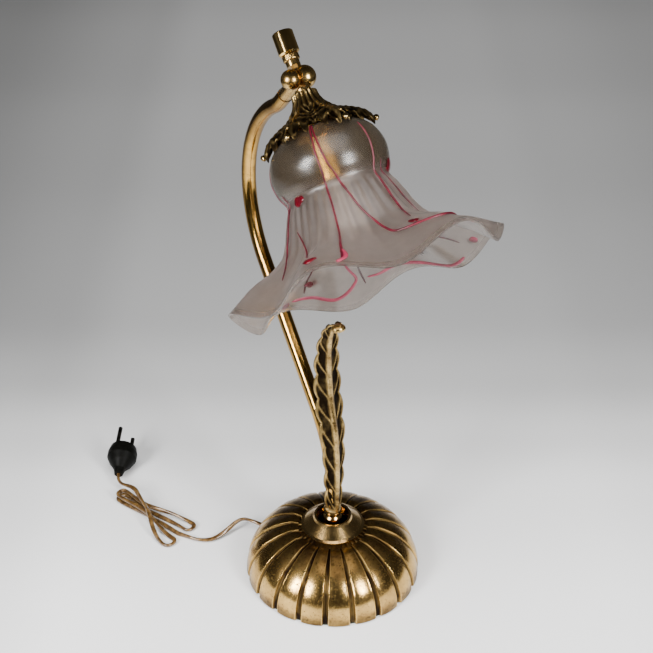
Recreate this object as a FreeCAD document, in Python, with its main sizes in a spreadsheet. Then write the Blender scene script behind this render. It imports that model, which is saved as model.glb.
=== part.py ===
import FreeCAD, Part
import math
import os
import Sketcher
from FreeCAD import Placement, Rotation, Vector

# Tulip shade table lamp, millimetres. Origin at the middle of the felt foot, +Z up, the shade
# reaches forward along -Y and the arm bows back along +Y. The hinge of the head lies along X.

os.makedirs("parts", exist_ok=True)
doc = FreeCAD.newDocument("tulip_lamp")
sheet = doc.addObject("Spreadsheet::Sheet", "Sizes")
SUB_PARTS = []


# ---------------------------------------------------------------- sizes and small helpers

class Size:
    """A length that carries its value and the sheet expression that gives it."""

    def __init__(self, value, text):
        self.value = float(value)
        self.text = text

    def __add__(self, other):
        other = as_size(other)
        return Size(self.value + other.value, "(%s + %s)" % (self.text, other.text))

    def __sub__(self, other):
        other = as_size(other)
        return Size(self.value - other.value, "(%s - %s)" % (self.text, other.text))

    def __mul__(self, other):
        other = as_size(other)
        return Size(self.value * other.value, "(%s * %s)" % (self.text, other.text))

    def __truediv__(self, other):
        other = as_size(other)
        return Size(self.value / other.value, "(%s / %s)" % (self.text, other.text))

    def __neg__(self):
        return Size(-self.value, "(0 - %s)" % self.text)

    __radd__ = __add__


def as_size(number):
    if isinstance(number, Size):
        return number
    return Size(number, repr(float(number)))


def cell(alias, number):
    """Write one driving dimension into the sheet and return it."""
    row = len(sheet.getUsedCells()) // 2 + 1
    sheet.set("A%d" % row, alias)
    sheet.set("B%d" % row, str(number))
    sheet.setAlias("B%d" % row, alias)
    return Size(number, "Sizes.%s" % alias)


def keep(piece, label):
    """Name a finished sub-part; its Label names its file."""
    piece.Label = label
    SUB_PARTS.append(piece)
    return piece


def set_place(piece, frame):
    """Put a piece into the frame that it belongs to and bind that frame to the sheet."""
    base_y, base_z, turn_x = frame
    turn = Rotation(Vector(1, 0, 0), turn_x.value)
    piece.Placement = Placement(Vector(0, base_y.value, base_z.value), turn)
    piece.setExpression("Placement.Base.y", base_y.text)
    piece.setExpression("Placement.Base.z", base_z.text)
    if turn_x.value:
        piece.setExpression("Placement.Rotation.Angle", turn_x.text)


def new_body(label, frame=None):
    body = doc.addObject("PartDesign::Body", label)
    if frame:
        set_place(body, frame)
    return keep(body, label)


def plane_of(body, role):
    return next(item for item in body.Origin.OriginFeatures if item.Role == role)


def new_sketch(body, name, role="XZ_Plane"):
    sketch = body.newObject("Sketcher::SketchObject", name)
    sketch.AttachmentSupport = [(plane_of(body, role), "")]
    sketch.MapMode = "FlatFace"
    return sketch


def closed_outline(sketch, points):
    """Straight closed outline; every corner is held by two distances bound to the sheet."""
    points = [(as_size(across), as_size(up)) for across, up in points]
    count = len(points)
    for index in range(count):
        start = points[index]
        end = points[(index + 1) % count]
        sketch.addGeometry(Part.LineSegment(Vector(start[0].value, start[1].value, 0),
                                            Vector(end[0].value, end[1].value, 0)), False)
    for index in range(count):
        sketch.addConstraint(Sketcher.Constraint("Coincident", index, 2, (index + 1) % count, 1))
    for index, (across, up) in enumerate(points):
        for kind, length in (("DistanceX", across), ("DistanceY", up)):
            number = sketch.addConstraint(Sketcher.Constraint(kind, -1, 1, index, 1, length.value))
            sketch.setExpression("Constraints[%d]" % number, length.text)


def turned(label, outline, frame=None):
    """A turned piece: an outline of (radius, height) pairs revolved about Z."""
    body = new_body(label, frame)
    sketch = new_sketch(body, label + "_outline")
    closed_outline(sketch, outline)
    doc.recompute()
    turn = body.newObject("PartDesign::Revolution", label + "_turned")
    turn.Profile = sketch
    turn.ReferenceAxis = (sketch, ["V_Axis"])
    turn.Angle = 360
    body.Tip = turn
    doc.recompute()
    return body


def cylinder_at(name, radius, length, place):
    """A round bar for booleans, its axis along the local Z of place."""
    bar = doc.addObject("Part::Cylinder", name)
    bar.setExpression("Radius", as_size(radius).text)
    bar.setExpression("Height", as_size(length).text)
    bar.Placement = place
    return bar


def box_at(name, sides, corner):
    """A block for booleans from its three sides and its lowest corner."""
    block = doc.addObject("Part::Box", name)
    for side, length in zip(("Length", "Width", "Height"), sides):
        block.setExpression(side, as_size(length).text)
    for axis, length in zip("xyz", corner):
        block.setExpression("Placement.Base.%s" % axis, as_size(length).text)
    return block


def joined(name, pieces):
    fuse = doc.addObject("Part::MultiFuse", name)
    fuse.Shapes = pieces
    return fuse


def cut(name, base, tool):
    result = doc.addObject("Part::Cut", name)
    result.Base = base
    result.Tool = tool
    return result


def shaped(label, shape, frame=None):
    """A sub-part whose form comes from a formula, set as a finished shape."""
    piece = doc.addObject("Part::Feature", label)
    piece.Shape = shape
    if frame:
        set_place(piece, frame)
    return keep(piece, label)


def smooth_ring(points):
    """One closed smooth curve through points that lie round an axis."""
    curve = Part.BSplineCurve()
    even = [float(step) for step in range(len(points) + 1)]
    curve.interpolate(Points=points, PeriodicFlag=True, Parameters=even)
    return Part.Wire([curve.toShape()])


def skin(point, rows, columns):
    """The rings of a surface: point(row share, angle) is called round each ring."""
    rings = []
    for row in range(rows + 1):
        ring = [point(row / rows, 2 * math.pi * column / columns) for column in range(columns)]
        rings.append(smooth_ring(ring))
    return rings


def walled_solid(outer, inner):
    """A thin open shell between two skins, closed by a ruled lip at both ends."""
    faces = []
    faces += Part.makeLoft(outer, False, False).Faces
    faces += Part.makeLoft(inner, False, False).Faces
    for end in (0, -1):
        faces.append(Part.makeRuledSurface(outer[end].Edges[0], inner[end].Edges[0]))
    shell = Part.Shell(faces)
    shell.sewShape()
    solid = Part.Solid(shell)
    if solid.Volume < 0:
        solid.reverse()
    return solid


def blend(first, last, share):
    return first + (last - first) * share


def ease(share):
    """Smooth step from 0 to 1."""
    share = min(max(share, 0), 1)
    return share * share * (3 - 2 * share)


def through(points, share):
    """Smooth value between evenly spaced points, by Catmull and Rom's rule."""
    spans = len(points) - 1
    place = min(share * spans, spans - 1e-9)
    index = int(place)
    rest = place - index
    before = points[max(index - 1, 0)]
    start = points[index]
    end = points[index + 1]
    after = points[min(index + 2, spans)]
    result = []
    for a, b, c, d in zip(before, start, end, after):
        result.append(0.5 * (2 * b + (c - a) * rest + (2 * a - 5 * b + 4 * c - d) * rest ** 2
                             + (3 * b - a - 3 * c + d) * rest ** 3))
    return result


def rounded_path(corners, radius_of):
    """Straight runs joined by tangent arcs; radius_of(index, run before, run after, half turn)."""
    edges = []
    last = corners[0]
    radii = []
    for index in range(1, len(corners) - 1):
        corner = corners[index]
        back = corners[index - 1] - corner
        ahead = corners[index + 1] - corner
        half_turn = (math.pi - back.getAngle(ahead)) / 2
        radius = radius_of(index, back.Length, ahead.Length, half_turn)
        reach = radius * math.tan(half_turn)
        start = corner + Vector(back).normalize() * reach
        end = corner + Vector(ahead).normalize() * reach
        to_centre = (Vector(back).normalize() + Vector(ahead).normalize()).normalize()
        middle = corner + to_centre * (radius / math.cos(half_turn) - radius)
        if (start - last).Length > 1e-6:
            edges.append(Part.LineSegment(last, start).toShape())
        edges.append(Part.Arc(start, middle, end).toShape())
        radii.append(radius)
        last = end
    edges.append(Part.LineSegment(last, corners[-1]).toShape())
    return Part.Wire(edges), radii


def tube_along(path, outer, inner=None):
    """A round tube or bar swept along a wire."""
    start = path.Edges[0]
    place = start.valueAt(start.FirstParameter)
    along = start.tangentAt(start.FirstParameter)
    solid = path.makePipeShell([Part.Wire([Part.makeCircle(outer, place, along)])], True, False)
    if inner:
        hollow = path.makePipeShell([Part.Wire([Part.makeCircle(inner, place, along)])], True, False)
        solid = solid.cut(hollow)
    return solid


# ---------------------------------------------------------------- driving dimensions

wall_fit = cell("wall_fit", 0.05)

base_radius = cell("base_radius", 75)
base_rise = cell("base_rise", 50)
base_top = cell("base_top", 47.6)
base_fullness = cell("base_fullness", 2.3)
base_lobes = cell("base_lobes", 20)
base_turn = cell("base_turn", 1)
groove_depth = cell("groove_depth", 1.9)
pillow_drop = cell("pillow_drop", 1.1)
shell_wall = cell("shell_wall", 1.6)
shell_web = cell("shell_web", 3)
felt_thick = cell("felt_thick", 1.6)
felt_inset = cell("felt_inset", 3.5)
weight_radius = cell("weight_radius", 60)
weight_hole = cell("weight_hole", 26)
weight_high = cell("weight_high", 15)
channel_wide = cell("channel_wide", 7)

collar_radius = cell("collar_radius", 27)
collar_bead = cell("collar_bead", 2.2)
collar_floor = cell("collar_floor", 2)
collar_mouth = cell("collar_mouth", 14.1)
collar_high = cell("collar_high", 12)
collar_wall = cell("collar_wall", 1.7)

arm_radius = cell("arm_radius", 6)
arm_bore = cell("arm_bore", 5)
arm_back = cell("arm_back", 42)
arm_ahead = cell("arm_ahead", 60)
arm_end_turn = cell("arm_end_turn", 45)
arm_foot_bend = cell("arm_foot_bend", 126.6)
arm_foot_curve = cell("arm_foot_curve", 100)
arm_bow_curve = cell("arm_bow_curve", 96)
arm_end_bend = cell("arm_end_bend", 46)
arm_end_curve = cell("arm_end_curve", 50)
nipple_low = cell("nipple_low", 31)
nipple_high = cell("nipple_high", 78)
nipple_bore = cell("nipple_bore", 3.4)
nut_radius = cell("nut_radius", 9)
nut_thick = cell("nut_thick", 5)
washer_radius = cell("washer_radius", 14)
washer_thick = cell("washer_thick", 1.5)

ring_low = cell("ring_low", 56)
ring_high = cell("ring_high", 67)
ring_radius = cell("ring_radius", 8)
leaf_high = cell("leaf_high", 256)
leaf_thick = cell("leaf_thick", 1.8)

pivot_back = cell("pivot_back", 51.7)
pivot_high = cell("pivot_high", 436.9)
tilt_rest = cell("tilt_rest", 42)
eye_radius = cell("eye_radius", 7.6)
eye_aside = cell("eye_aside", 6.2)
cheek_radius = cell("cheek_radius", 8.9)
cheek_aside = cell("cheek_aside", 5)
joint_gap = cell("joint_gap", 0.6)
joint_reach = cell("joint_reach", 9.4)
ferrule_radius = cell("ferrule_radius", 5.5)
ferrule_long = cell("ferrule_long", 19.6)
spigot_long = cell("spigot_long", 8)
stem_radius = cell("stem_radius", 5.3)
stem_top = cell("stem_top", 13.4)
stud_radius = cell("stud_radius", 3)
stud_top = cell("stud_top", 29)
pin_radius = cell("pin_radius", 2.2)
pin_head = cell("pin_head", 4)
pin_head_thick = cell("pin_head_thick", 1.6)
pin_reach = cell("pin_reach", 12.5)
pin_depth = cell("pin_depth", 10.8)
washer_slim = cell("washer_slim", 0.5)

knurl_radius = cell("knurl_radius", 6.4)
knurl_top = cell("knurl_top", 18.6)
knob_radius = cell("knob_radius", 8)
knob_top = cell("knob_top", 36.2)
knob_chamfer = cell("knob_chamfer", 1.2)

boss_radius = cell("boss_radius", 6.2)
boss_low = cell("boss_low", 19.5)
cap_neck = cell("cap_neck", 9.4)
cap_neck_top = cell("cap_neck_top", 11.5)
cap_web = cell("cap_web", 2)
cap_thick = cell("cap_thick", 1.8)
cap_leaves = cell("cap_leaves", 6)
head_nipple_radius = cell("head_nipple_radius", 4.9)
head_nut_thick = cell("head_nut_thick", 3.5)
holder_top = cell("holder_top", 26.5)
holder_cap_radius = cell("holder_cap_radius", 12.6)
holder_flange = cell("holder_flange", 17)
flange_thick = cell("flange_thick", 1.6)
glass_top = cell("glass_top", 40.5)
glass_seat = cell("glass_seat", 0.12)
glass_thick = cell("glass_thick", 2.6)
glass_hole = cell("glass_hole", 13.6)
holder_radius = cell("holder_radius", 13)
holder_low = cell("holder_low", 79.5)
holder_wall = cell("holder_wall", 1)
shade_ring_radius = cell("shade_ring_radius", 17.5)
shade_ring_thick = cell("shade_ring_thick", 5)
core_radius = cell("core_radius", 11)
bulb_screw = cell("bulb_screw", 6.9)
bulb_glass_radius = cell("bulb_glass_radius", 14)
bulb_top = cell("bulb_top", 74.5)
bulb_long = cell("bulb_long", 46)

petals = cell("petals", 6)
petal_turn = cell("petal_turn", 15)
rim_wave_out = cell("rim_wave_out", 4.5)
rim_wave_down = cell("rim_wave_down", 7.5)

cord_radius = cell("cord_radius", 2.1)
flex_bend = cell("flex_bend", 20)
cord_exit_turn = cell("cord_exit_turn", 115)
cord_exit_high = cell("cord_exit_high", 8)
bush_radius = cell("bush_radius", 3.3)
bush_flange = cell("bush_flange", 5)
bush_flange_thick = cell("bush_flange_thick", 1.8)
bush_inner = cell("bush_inner", 8)
hank_gap = cell("hank_gap", 1.1)
hank_half_loop = cell("hank_half_loop", 4.7)
plug_radius = cell("plug_radius", 14)
plug_long = cell("plug_long", 31)
plug_pin_radius = cell("plug_pin_radius", 2)
plug_pin_long = cell("plug_pin_long", 19)
plug_pin_apart = cell("plug_pin_apart", 19)

doc.recompute()

HEAD = (pivot_back, pivot_high, -tilt_rest)


# ---------------------------------------------------------------- base

def dome_reach(height, radius, rise):
    """Radius of a dome that stands on the felt, at a height above the table."""
    power = base_fullness.value
    lift = min((height - felt_thick.value) / rise, 1)
    return radius * (1 - lift ** power) ** (1 / power)


def dome_point(share, angle):
    """A point of the gadrooned dome: share 0 at the foot, 1 at the flat top."""
    height = felt_thick.value + (base_top.value - felt_thick.value) * math.sin(share * math.pi / 2) ** 1.1
    # the columns crowd round each narrow groove; across is 0 on a lobe's middle and 1 in the groove
    lobes = base_lobes.value
    round_lobe = lobes * angle
    angle -= GROOVE_CROWDING * math.sin(round_lobe) / lobes
    across = 1 - abs((lobes * angle / math.pi + 1) % 2 - 1)
    groove = ease((across - 0.8) / 0.15)
    drop = pillow_drop.value * across ** 2.4 + groove_depth.value * groove
    reach = dome_reach(height, base_radius.value, base_rise.value) - drop * blend(1, 0.55, share)
    turned_angle = angle + math.radians(base_turn.value)
    return Vector(reach * math.cos(turned_angle), reach * math.sin(turned_angle), height)


DOME_ROWS = 12
GROOVE_CROWDING = 0.75


def base_shell():
    """Cast brass dome with twenty gadroons, a web at the top for the threaded nipple."""
    rings = skin(dome_point, DOME_ROWS, int(base_lobes.value) * 8)
    outer = Part.makeLoft(rings, True, False)
    depth = groove_depth.value + pillow_drop.value + shell_wall.value
    low = felt_thick.value
    web_low = base_top.value - shell_web.value
    points = []
    for share in (0, 0.2, 0.4, 0.6, 0.75, 0.88, 0.96, 1):
        height = blend(low, web_low, share)
        reach = dome_reach(height, base_radius.value - depth, base_rise.value - depth)
        points.append(Vector(reach, 0, height))
    profile = Part.BSplineCurve()
    profile.interpolate(points)
    lines = [Part.LineSegment(points[-1], Vector(0, 0, web_low)).toShape(),
             Part.LineSegment(Vector(0, 0, web_low), Vector(0, 0, low)).toShape(),
             Part.LineSegment(Vector(0, 0, low), points[0]).toShape()]
    outline = Part.Wire([profile.toShape()] + lines)
    hollow = Part.Face(outline).revolve(Vector(0, 0, 0), Vector(0, 0, 1), 360)
    bore = Part.makeCylinder(arm_bore.value, base_rise.value, Vector(0, 0, felt_thick.value))
    shape = outer.cut(hollow).cut(bore)
    return shaped("base_shell", shape.cut(exit_bar(bush_radius.value, bush_inner.value * 4)))


def exit_frame(reach):
    """Place on the cord's way out of the base: reach from the axis, local Z outward."""
    turn = math.radians(cord_exit_turn.value)
    outward = Vector(math.cos(turn), math.sin(turn), 0)
    return Placement(outward * reach + Vector(0, 0, cord_exit_high.value), Rotation(Vector(0, 0, 1), outward))


def bush_face():
    """Distance from the axis to the outer face of the cord's bush."""
    return base_radius.value + bush_flange_thick.value


def exit_bar(radius, length):
    bar = Part.makeCylinder(radius, length)
    bar.Placement = exit_frame(base_radius.value - length / 2)
    return bar


base_shell()

web_low = base_top - shell_web
felt_radius = base_radius - felt_inset
turned("base_felt", [(0, 0), (felt_radius, 0), (felt_radius, felt_thick), (0, felt_thick)])


def base_weight():
    """Cast iron ring that keeps the lamp on its foot, with a channel for the flex."""
    ring = doc.addObject("Part::Cylinder", "weight_disc")
    ring.setExpression("Radius", weight_radius.text)
    ring.setExpression("Height", weight_high.text)
    hole = cylinder_at("weight_hole_bar", weight_hole, weight_high, Placement())
    channel = doc.addObject("Part::Box", "weight_channel")
    channel.setExpression("Length", weight_radius.text)
    channel.setExpression("Width", channel_wide.text)
    channel.setExpression("Height", weight_high.text)
    turn = Rotation(Vector(0, 0, 1), cord_exit_turn.value)
    channel.Placement = Placement(turn.multVec(Vector(0, -channel_wide.value / 2, 0)), turn)
    body = cut("base_weight_cast", cut("weight_ring", ring, hole), channel)
    body.Placement = Placement(Vector(0, 0, felt_thick.value), Rotation())
    body.setExpression("Placement.Base.z", felt_thick.text)
    return keep(body, "base_weight")


base_weight()

collar_low = base_top
turned("base_collar", [
    (arm_bore + wall_fit, collar_low),
    (collar_radius - collar_bead, collar_low),
    (collar_radius, collar_low + collar_bead * 0.5),
    (collar_radius, collar_low + collar_bead),
    (collar_radius - collar_bead, collar_low + collar_bead * 1.5),
    (collar_mouth + collar_wall * 1.6, collar_low + collar_high - collar_wall * 1.2),
    (collar_mouth + collar_wall, collar_low + collar_high),
    (collar_mouth, collar_low + collar_high),
    (collar_mouth - collar_wall * 0.4, collar_low + collar_high - collar_wall),
    (collar_radius - collar_bead * 3, collar_low + collar_floor),
    (arm_bore + wall_fit, collar_low + collar_floor)])

turned("base_washer", [(arm_bore + wall_fit, web_low - washer_thick), (washer_radius, web_low - washer_thick),
                       (washer_radius, web_low), (arm_bore + wall_fit, web_low)])


def hex_nut(label, across_radius, bore, low, thick, frame=None):
    """A six-sided nut about Z."""
    body = new_body(label, frame)
    sketch = new_sketch(body, label + "_hex", "XY_Plane")
    corners = []
    for index in range(6):
        turn = math.radians(60 * index)
        corners.append((across_radius * math.cos(turn), across_radius * math.sin(turn)))
    closed_outline(sketch, corners)
    sketch.AttachmentOffset = Placement(Vector(0, 0, low.value), Rotation())
    sketch.setExpression("AttachmentOffset.Base.z", low.text)
    doc.recompute()
    pad = body.newObject("PartDesign::Pad", label + "_block")
    pad.Profile = sketch
    pad.setExpression("Length", thick.text)
    doc.recompute()
    hole_sketch = new_sketch(body, label + "_bore", "XY_Plane")
    hole_sketch.addGeometry(Part.Circle(Vector(0, 0, 0), Vector(0, 0, 1), bore.value), False)
    hole_sketch.addConstraint(Sketcher.Constraint("Coincident", 0, 3, -1, 1))
    number = hole_sketch.addConstraint(Sketcher.Constraint("Radius", 0, bore.value))
    hole_sketch.setExpression("Constraints[%d]" % number, bore.text)
    doc.recompute()
    pocket = body.newObject("PartDesign::Pocket", label + "_hole")
    pocket.Profile = hole_sketch
    pocket.Type = "ThroughAll"
    pocket.Midplane = True
    body.Tip = pocket
    doc.recompute()
    return body


hex_nut("base_nut", nut_radius, arm_bore, web_low - washer_thick - nut_thick, nut_thick)
turned("base_nipple", [(nipple_bore, nipple_low), (arm_bore - wall_fit, nipple_low),
                       (arm_bore - wall_fit, nipple_high), (nipple_bore, nipple_high)])


# ---------------------------------------------------------------- arm, stem ring and leaf

arm_foot = base_top + collar_floor
back_way = Vector(0, math.sin(math.radians(arm_back.value)), math.cos(math.radians(arm_back.value)))
ahead_way = Vector(0, -math.sin(math.radians(arm_ahead.value)), math.cos(math.radians(arm_ahead.value)))
end_turn = math.radians(arm_end_turn.value)
end_way = Vector(0, -math.sin(end_turn), math.cos(end_turn))
pivot = Vector(0, pivot_back.value, pivot_high.value)
arm_end = pivot - end_way * (joint_reach.value + ferrule_long.value)


def arm_corners(first):
    """Corners of the arm's middle line: upright foot, straight back run, bow, bend by the hinge."""
    foot_corner = Vector(0, 0, arm_foot_bend.value)
    end_corner = pivot - end_way * arm_end_bend.value
    gap = end_corner - foot_corner
    cross = back_way.y * ahead_way.z - back_way.z * ahead_way.y
    run = (gap.y * ahead_way.z - gap.z * ahead_way.y) / cross
    return [first, foot_corner, foot_corner + back_way * run, end_corner]


def arm_radius_of(index, before, after, half_turn):
    return (arm_foot_curve.value, arm_bow_curve.value, arm_end_curve.value)[index - 1]


arm_path = rounded_path(arm_corners(Vector(0, 0, arm_foot.value)) + [arm_end], arm_radius_of)[0]
shaped("arm_tube", tube_along(arm_path, arm_radius.value, arm_bore.value))

ring_waist = ring_radius * 0.78
ring_mid = (ring_low + ring_high) / 2
ring_bead = (ring_high - ring_low) / 8
turned("stem_ring", [
    (arm_radius + wall_fit, ring_low), (ring_waist, ring_low),
    (ring_radius, ring_low + ring_bead), (ring_radius, ring_mid - ring_bead * 1.5),
    (ring_waist + 0.4, ring_mid - ring_bead * 0.4), (ring_waist + 0.4, ring_mid + ring_bead * 0.4),
    (ring_radius, ring_mid + ring_bead * 1.5), (ring_radius, ring_high - ring_bead),
    (ring_waist, ring_high), (arm_radius + wall_fit, ring_high)])


def leaf_stem():
    """Cast brass leaf that rises in front of the arm, its tip rolled forward."""
    rise = leaf_high.value - ring_high.value
    # forward reach of the leaf's back, height share, half width, wrap depth
    stations = [(6.3, 0.0, 7.4, 7.0), (7.0, 0.12, 8.6, 7.0), (7.0, 0.26, 9.6, 6.5), (4.0, 0.42, 11.0, 6.0),
                (-2.5, 0.56, 12.0, 5.5), (-6.5, 0.70, 11.5, 5.0), (-7.0, 0.83, 10.0, 4.0),
                (-3.5, 0.93, 7.5, 3.0), (3.0, 0.985, 5.0, 2.0), (9.5, 1.0, 2.6, 1.2)]
    wires = []
    count = 24
    for step in range(count + 1):
        share = step / count
        ahead, up, half, wrap = through(stations, share)
        later = through(stations, min(share + 0.01, 1))
        sooner = through(stations, max(share - 0.01, 0))
        way = Vector(0, -(later[0] - sooner[0]), (later[1] - sooner[1]) * rise).normalize()
        front = Vector(0, -way.z, way.y)
        place = Vector(0, -ahead, ring_high.value + up * rise)
        side = Vector(half, 0, 0)
        outer_mid = place + front * leaf_thick.value
        left = place - side - front * wrap
        right = place + side - front * wrap
        inset = Vector(leaf_thick.value * 0.8, 0, 0)
        wires.append(Part.Wire([
            Part.Arc(left, outer_mid, right).toShape(),
            Part.LineSegment(right, right - inset).toShape(),
            Part.Arc(right - inset, place, left + inset).toShape(),
            Part.LineSegment(left + inset, left).toShape()]))
    return shaped("leaf_stem", Part.makeLoft(wires, True, False))


leaf_stem()


def arm_knuckle():
    """Turned end of the arm: spigot in the tube, ferrule, and the half ball that faces the head's."""
    face = joint_gap.value / 2
    reach = joint_reach.value
    bend = Rotation(Vector(0, 0, 1), end_way)
    low = -reach - ferrule_long.value - spigot_long.value
    eye = Part.makeSphere(eye_radius.value, Vector(-eye_aside.value, 0, 0), Vector(1, 0, 0))
    ferrule = Part.makeCylinder(ferrule_radius.value, reach + ferrule_long.value,
                                Vector(0, 0, -reach - ferrule_long.value))
    spigot = Part.makeCylinder(arm_bore.value - wall_fit.value, spigot_long.value, Vector(0, 0, low))
    far_half = Part.makeBox(reach * 3, reach * 4, reach * 4, Vector(-face, -reach * 2, -reach))
    bore = Part.makeCylinder(cord_radius.value + wall_fit.value, spigot_long.value + ferrule_long.value,
                             Vector(0, 0, low))
    thread = Part.makeCylinder(pin_radius.value + wall_fit.value, pin_depth.value + wall_fit.value,
                               Vector(-pin_depth.value - wall_fit.value, 0, 0), Vector(1, 0, 0))
    shape = eye.fuse([ferrule, spigot]).cut(far_half).cut(bore).cut(thread).removeSplitter()
    shape.Placement = Placement(pivot, bend)
    return shaped("arm_knuckle", shape)


arm_knuckle()


def inner_flex():
    """The mains flex inside the lamp, from the bush in the base up to the knuckle."""
    start = exit_frame(bush_face()).Base
    turn_corner = Vector(0, 0, cord_exit_high.value)
    end = pivot - end_way * (joint_reach.value + 1)

    def radius_of(index, before, after, half_turn):
        return (flex_bend.value, arm_foot_curve.value, arm_bow_curve.value, arm_end_curve.value)[index - 1]

    path = rounded_path([start] + arm_corners(turn_corner) + [end], radius_of)[0]
    return shaped("inner_flex", tube_along(path, cord_radius.value))


inner_flex()


# ---------------------------------------------------------------- head, in its own frame:
# origin at the hinge, +Z toward the knob, the shade hangs along -Z, forward is -Y

def head_yoke():
    """Half ball that faces the arm's, with a stem above it and a boss below it."""
    ball = doc.addObject("Part::Sphere", "cheek_ball")
    ball.setExpression("Radius", cheek_radius.text)
    ball.setExpression("Placement.Base.x", cheek_aside.text)
    stem = cylinder_at("yoke_stem", stem_radius, stem_top, Placement())
    stud = cylinder_at("yoke_stud", stud_radius, stud_top, Placement())
    downward = Placement(Vector(0, 0, 0), Rotation(Vector(1, 0, 0), 180))
    boss = cylinder_at("yoke_boss", boss_radius, boss_low, downward)
    mass = joined("yoke_mass", [ball, stem, stud, boss])
    near_half = box_at("yoke_near_half", (joint_reach * 3, joint_reach * 4, joint_reach * 2),
                       (-(joint_reach * 3) + joint_gap / 2, -(joint_reach * 2), -joint_reach))
    across = Rotation(Vector(0, 1, 0), 90)
    pin_way = cylinder_at("yoke_pin_way", pin_radius + wall_fit, pin_reach, Placement())
    pin_way.Placement.Rotation = across
    head_way = cylinder_at("yoke_head_way", pin_head + wall_fit, cheek_radius, Placement())
    head_way.Placement.Rotation = across
    head_way.setExpression("Placement.Base.x", (pin_reach - pin_head_thick - washer_slim - wall_fit * 2).text)
    thread_way = cylinder_at("yoke_thread_way", head_nipple_radius + wall_fit, boss_low - joint_reach - 1.5,
                             Placement())
    thread_way.setExpression("Placement.Base.z", (-boss_low).text)
    tools = joined("yoke_tools", [near_half, pin_way, head_way, thread_way])
    yoke = cut("head_yoke_cast", mass, tools)
    set_place(yoke, HEAD)
    return keep(yoke, "head_yoke")


head_yoke()


def hinge_screw():
    """Slotted screw through the head's half ball into the arm's, its head sunk in the far side."""
    across = Rotation(Vector(0, 1, 0), 90)
    shank = cylinder_at("screw_shank", pin_radius, pin_depth + pin_reach - pin_head_thick, Placement())
    shank.Placement.Rotation = across
    shank.setExpression("Placement.Base.x", (-pin_depth).text)
    top = cylinder_at("screw_head", pin_head, pin_head_thick, Placement())
    top.Placement.Rotation = across
    top.setExpression("Placement.Base.x", (pin_reach - pin_head_thick).text)
    slit = box_at("screw_slit", (pin_head_thick, 1, pin_head * 2.2),
                  (pin_reach - pin_head_thick / 2, -0.5, -(pin_head * 1.1)))
    screw = cut("hinge_screw_cut", joined("screw_blank", [shank, top]), slit)
    set_place(screw, HEAD)
    return keep(screw, "hinge_screw")


hinge_screw()


def hinge_washers():
    """A thin brass washer between the half balls and one under the screw's head."""
    across = Rotation(Vector(0, 1, 0), 90)
    rings = []
    for name, radius, start in (("middle", eye_radius - 1.6, -(washer_slim / 2)),
                                ("outer", pin_head, pin_reach - pin_head_thick - washer_slim - wall_fit)):
        disc = cylinder_at(name + "_washer_disc", radius, washer_slim, Placement())
        hole = cylinder_at(name + "_washer_hole", pin_radius + wall_fit, washer_slim, Placement())
        for bar in (disc, hole):
            bar.Placement.Rotation = across
            bar.setExpression("Placement.Base.x", start.text)
        rings.append(cut(name + "_washer", disc, hole))
    pair = doc.addObject("Part::Compound", "hinge_washer_pair")
    pair.Links = rings
    set_place(pair, HEAD)
    return keep(pair, "hinge_washers")


hinge_washers()

turned("knob_collar", [(stud_radius + wall_fit, stem_top), (knurl_radius - 0.8, stem_top),
                       (knurl_radius, stem_top + 1), (knurl_radius, knurl_top - 1),
                       (knurl_radius - 0.8, knurl_top), (stud_radius + wall_fit, knurl_top)], HEAD)
turned("tilt_knob", [(stud_radius + wall_fit, knurl_top), (knob_radius - knob_chamfer, knurl_top),
                     (knob_radius, knurl_top + knob_chamfer), (knob_radius, knob_top - 0.8),
                     (knob_radius - 0.8, knob_top), (0, knob_top), (0, stud_top + 0.5),
                     (stud_radius + wall_fit, stud_top + 0.5)], HEAD)


def cap_point(share, angle, drop, inset):
    """A point of the leaf cap: share 0 at the neck's top, 1 at the leaves' ends."""
    leaf = (0.5 + 0.5 * math.cos(cap_leaves.value * (angle - CAP_TURN))) ** 0.6
    neck = cap_neck.value
    top = cap_neck_top.value
    # radius and depth below the hinge along a leaf's middle and along the notch between two
    middle = [(neck, top), (neck + 0.6, top + 5), (neck + 3.5, top + 11), (neck + 9.5, top + 17.5),
              (neck + 18, top + 21.5), (neck + 27, top + 27), (neck + 34, top + 36)]
    notch = [(neck - 0.8, top), (neck - 0.4, top + 5), (neck + 2, top + 11), (neck + 6, top + 17.5),
             (neck + 11, top + 21), (neck + 15, top + 23.5), (neck + 18.5, top + 26)]
    on_leaf = through(middle, share)
    on_notch = through(notch, share)
    reach = blend(on_notch[0], on_leaf[0], leaf) - inset
    depth = blend(on_notch[1], on_leaf[1], leaf) + drop
    return Vector(reach * math.sin(angle), -reach * math.cos(angle), -depth)


CAP_TURN = math.radians(3)


def leaf_cap():
    """Cast cap of six leaves that droop over the shoulder of the glass."""
    thick = cap_thick.value
    columns = int(cap_leaves.value) * 16
    outer = skin(lambda share, angle: cap_point(share, angle, 0, 0), 14, columns)
    inner = skin(lambda share, angle: cap_point(share, angle, thick * share, thick * blend(1, 0.5, share)),
                 14, columns)
    skirt = walled_solid(outer, inner)
    low = -boss_low.value
    web = Part.makeCylinder(cap_neck.value - thick + 0.3, cap_web.value, Vector(0, 0, low - cap_web.value))
    sleeve = Part.makeCylinder(cap_neck.value - thick + 0.3, boss_low.value - cap_neck_top.value - 0.2,
                               Vector(0, 0, low))
    bore = Part.makeCylinder(boss_radius.value + wall_fit.value, boss_low.value, Vector(0, 0, low))
    way = Part.makeCylinder(head_nipple_radius.value + wall_fit.value, 20, Vector(0, 0, low - 10))
    shape = skirt.fuse([web, sleeve]).cut(bore).cut(way)
    return shaped("leaf_cap", shape, HEAD)


leaf_cap()

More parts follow.
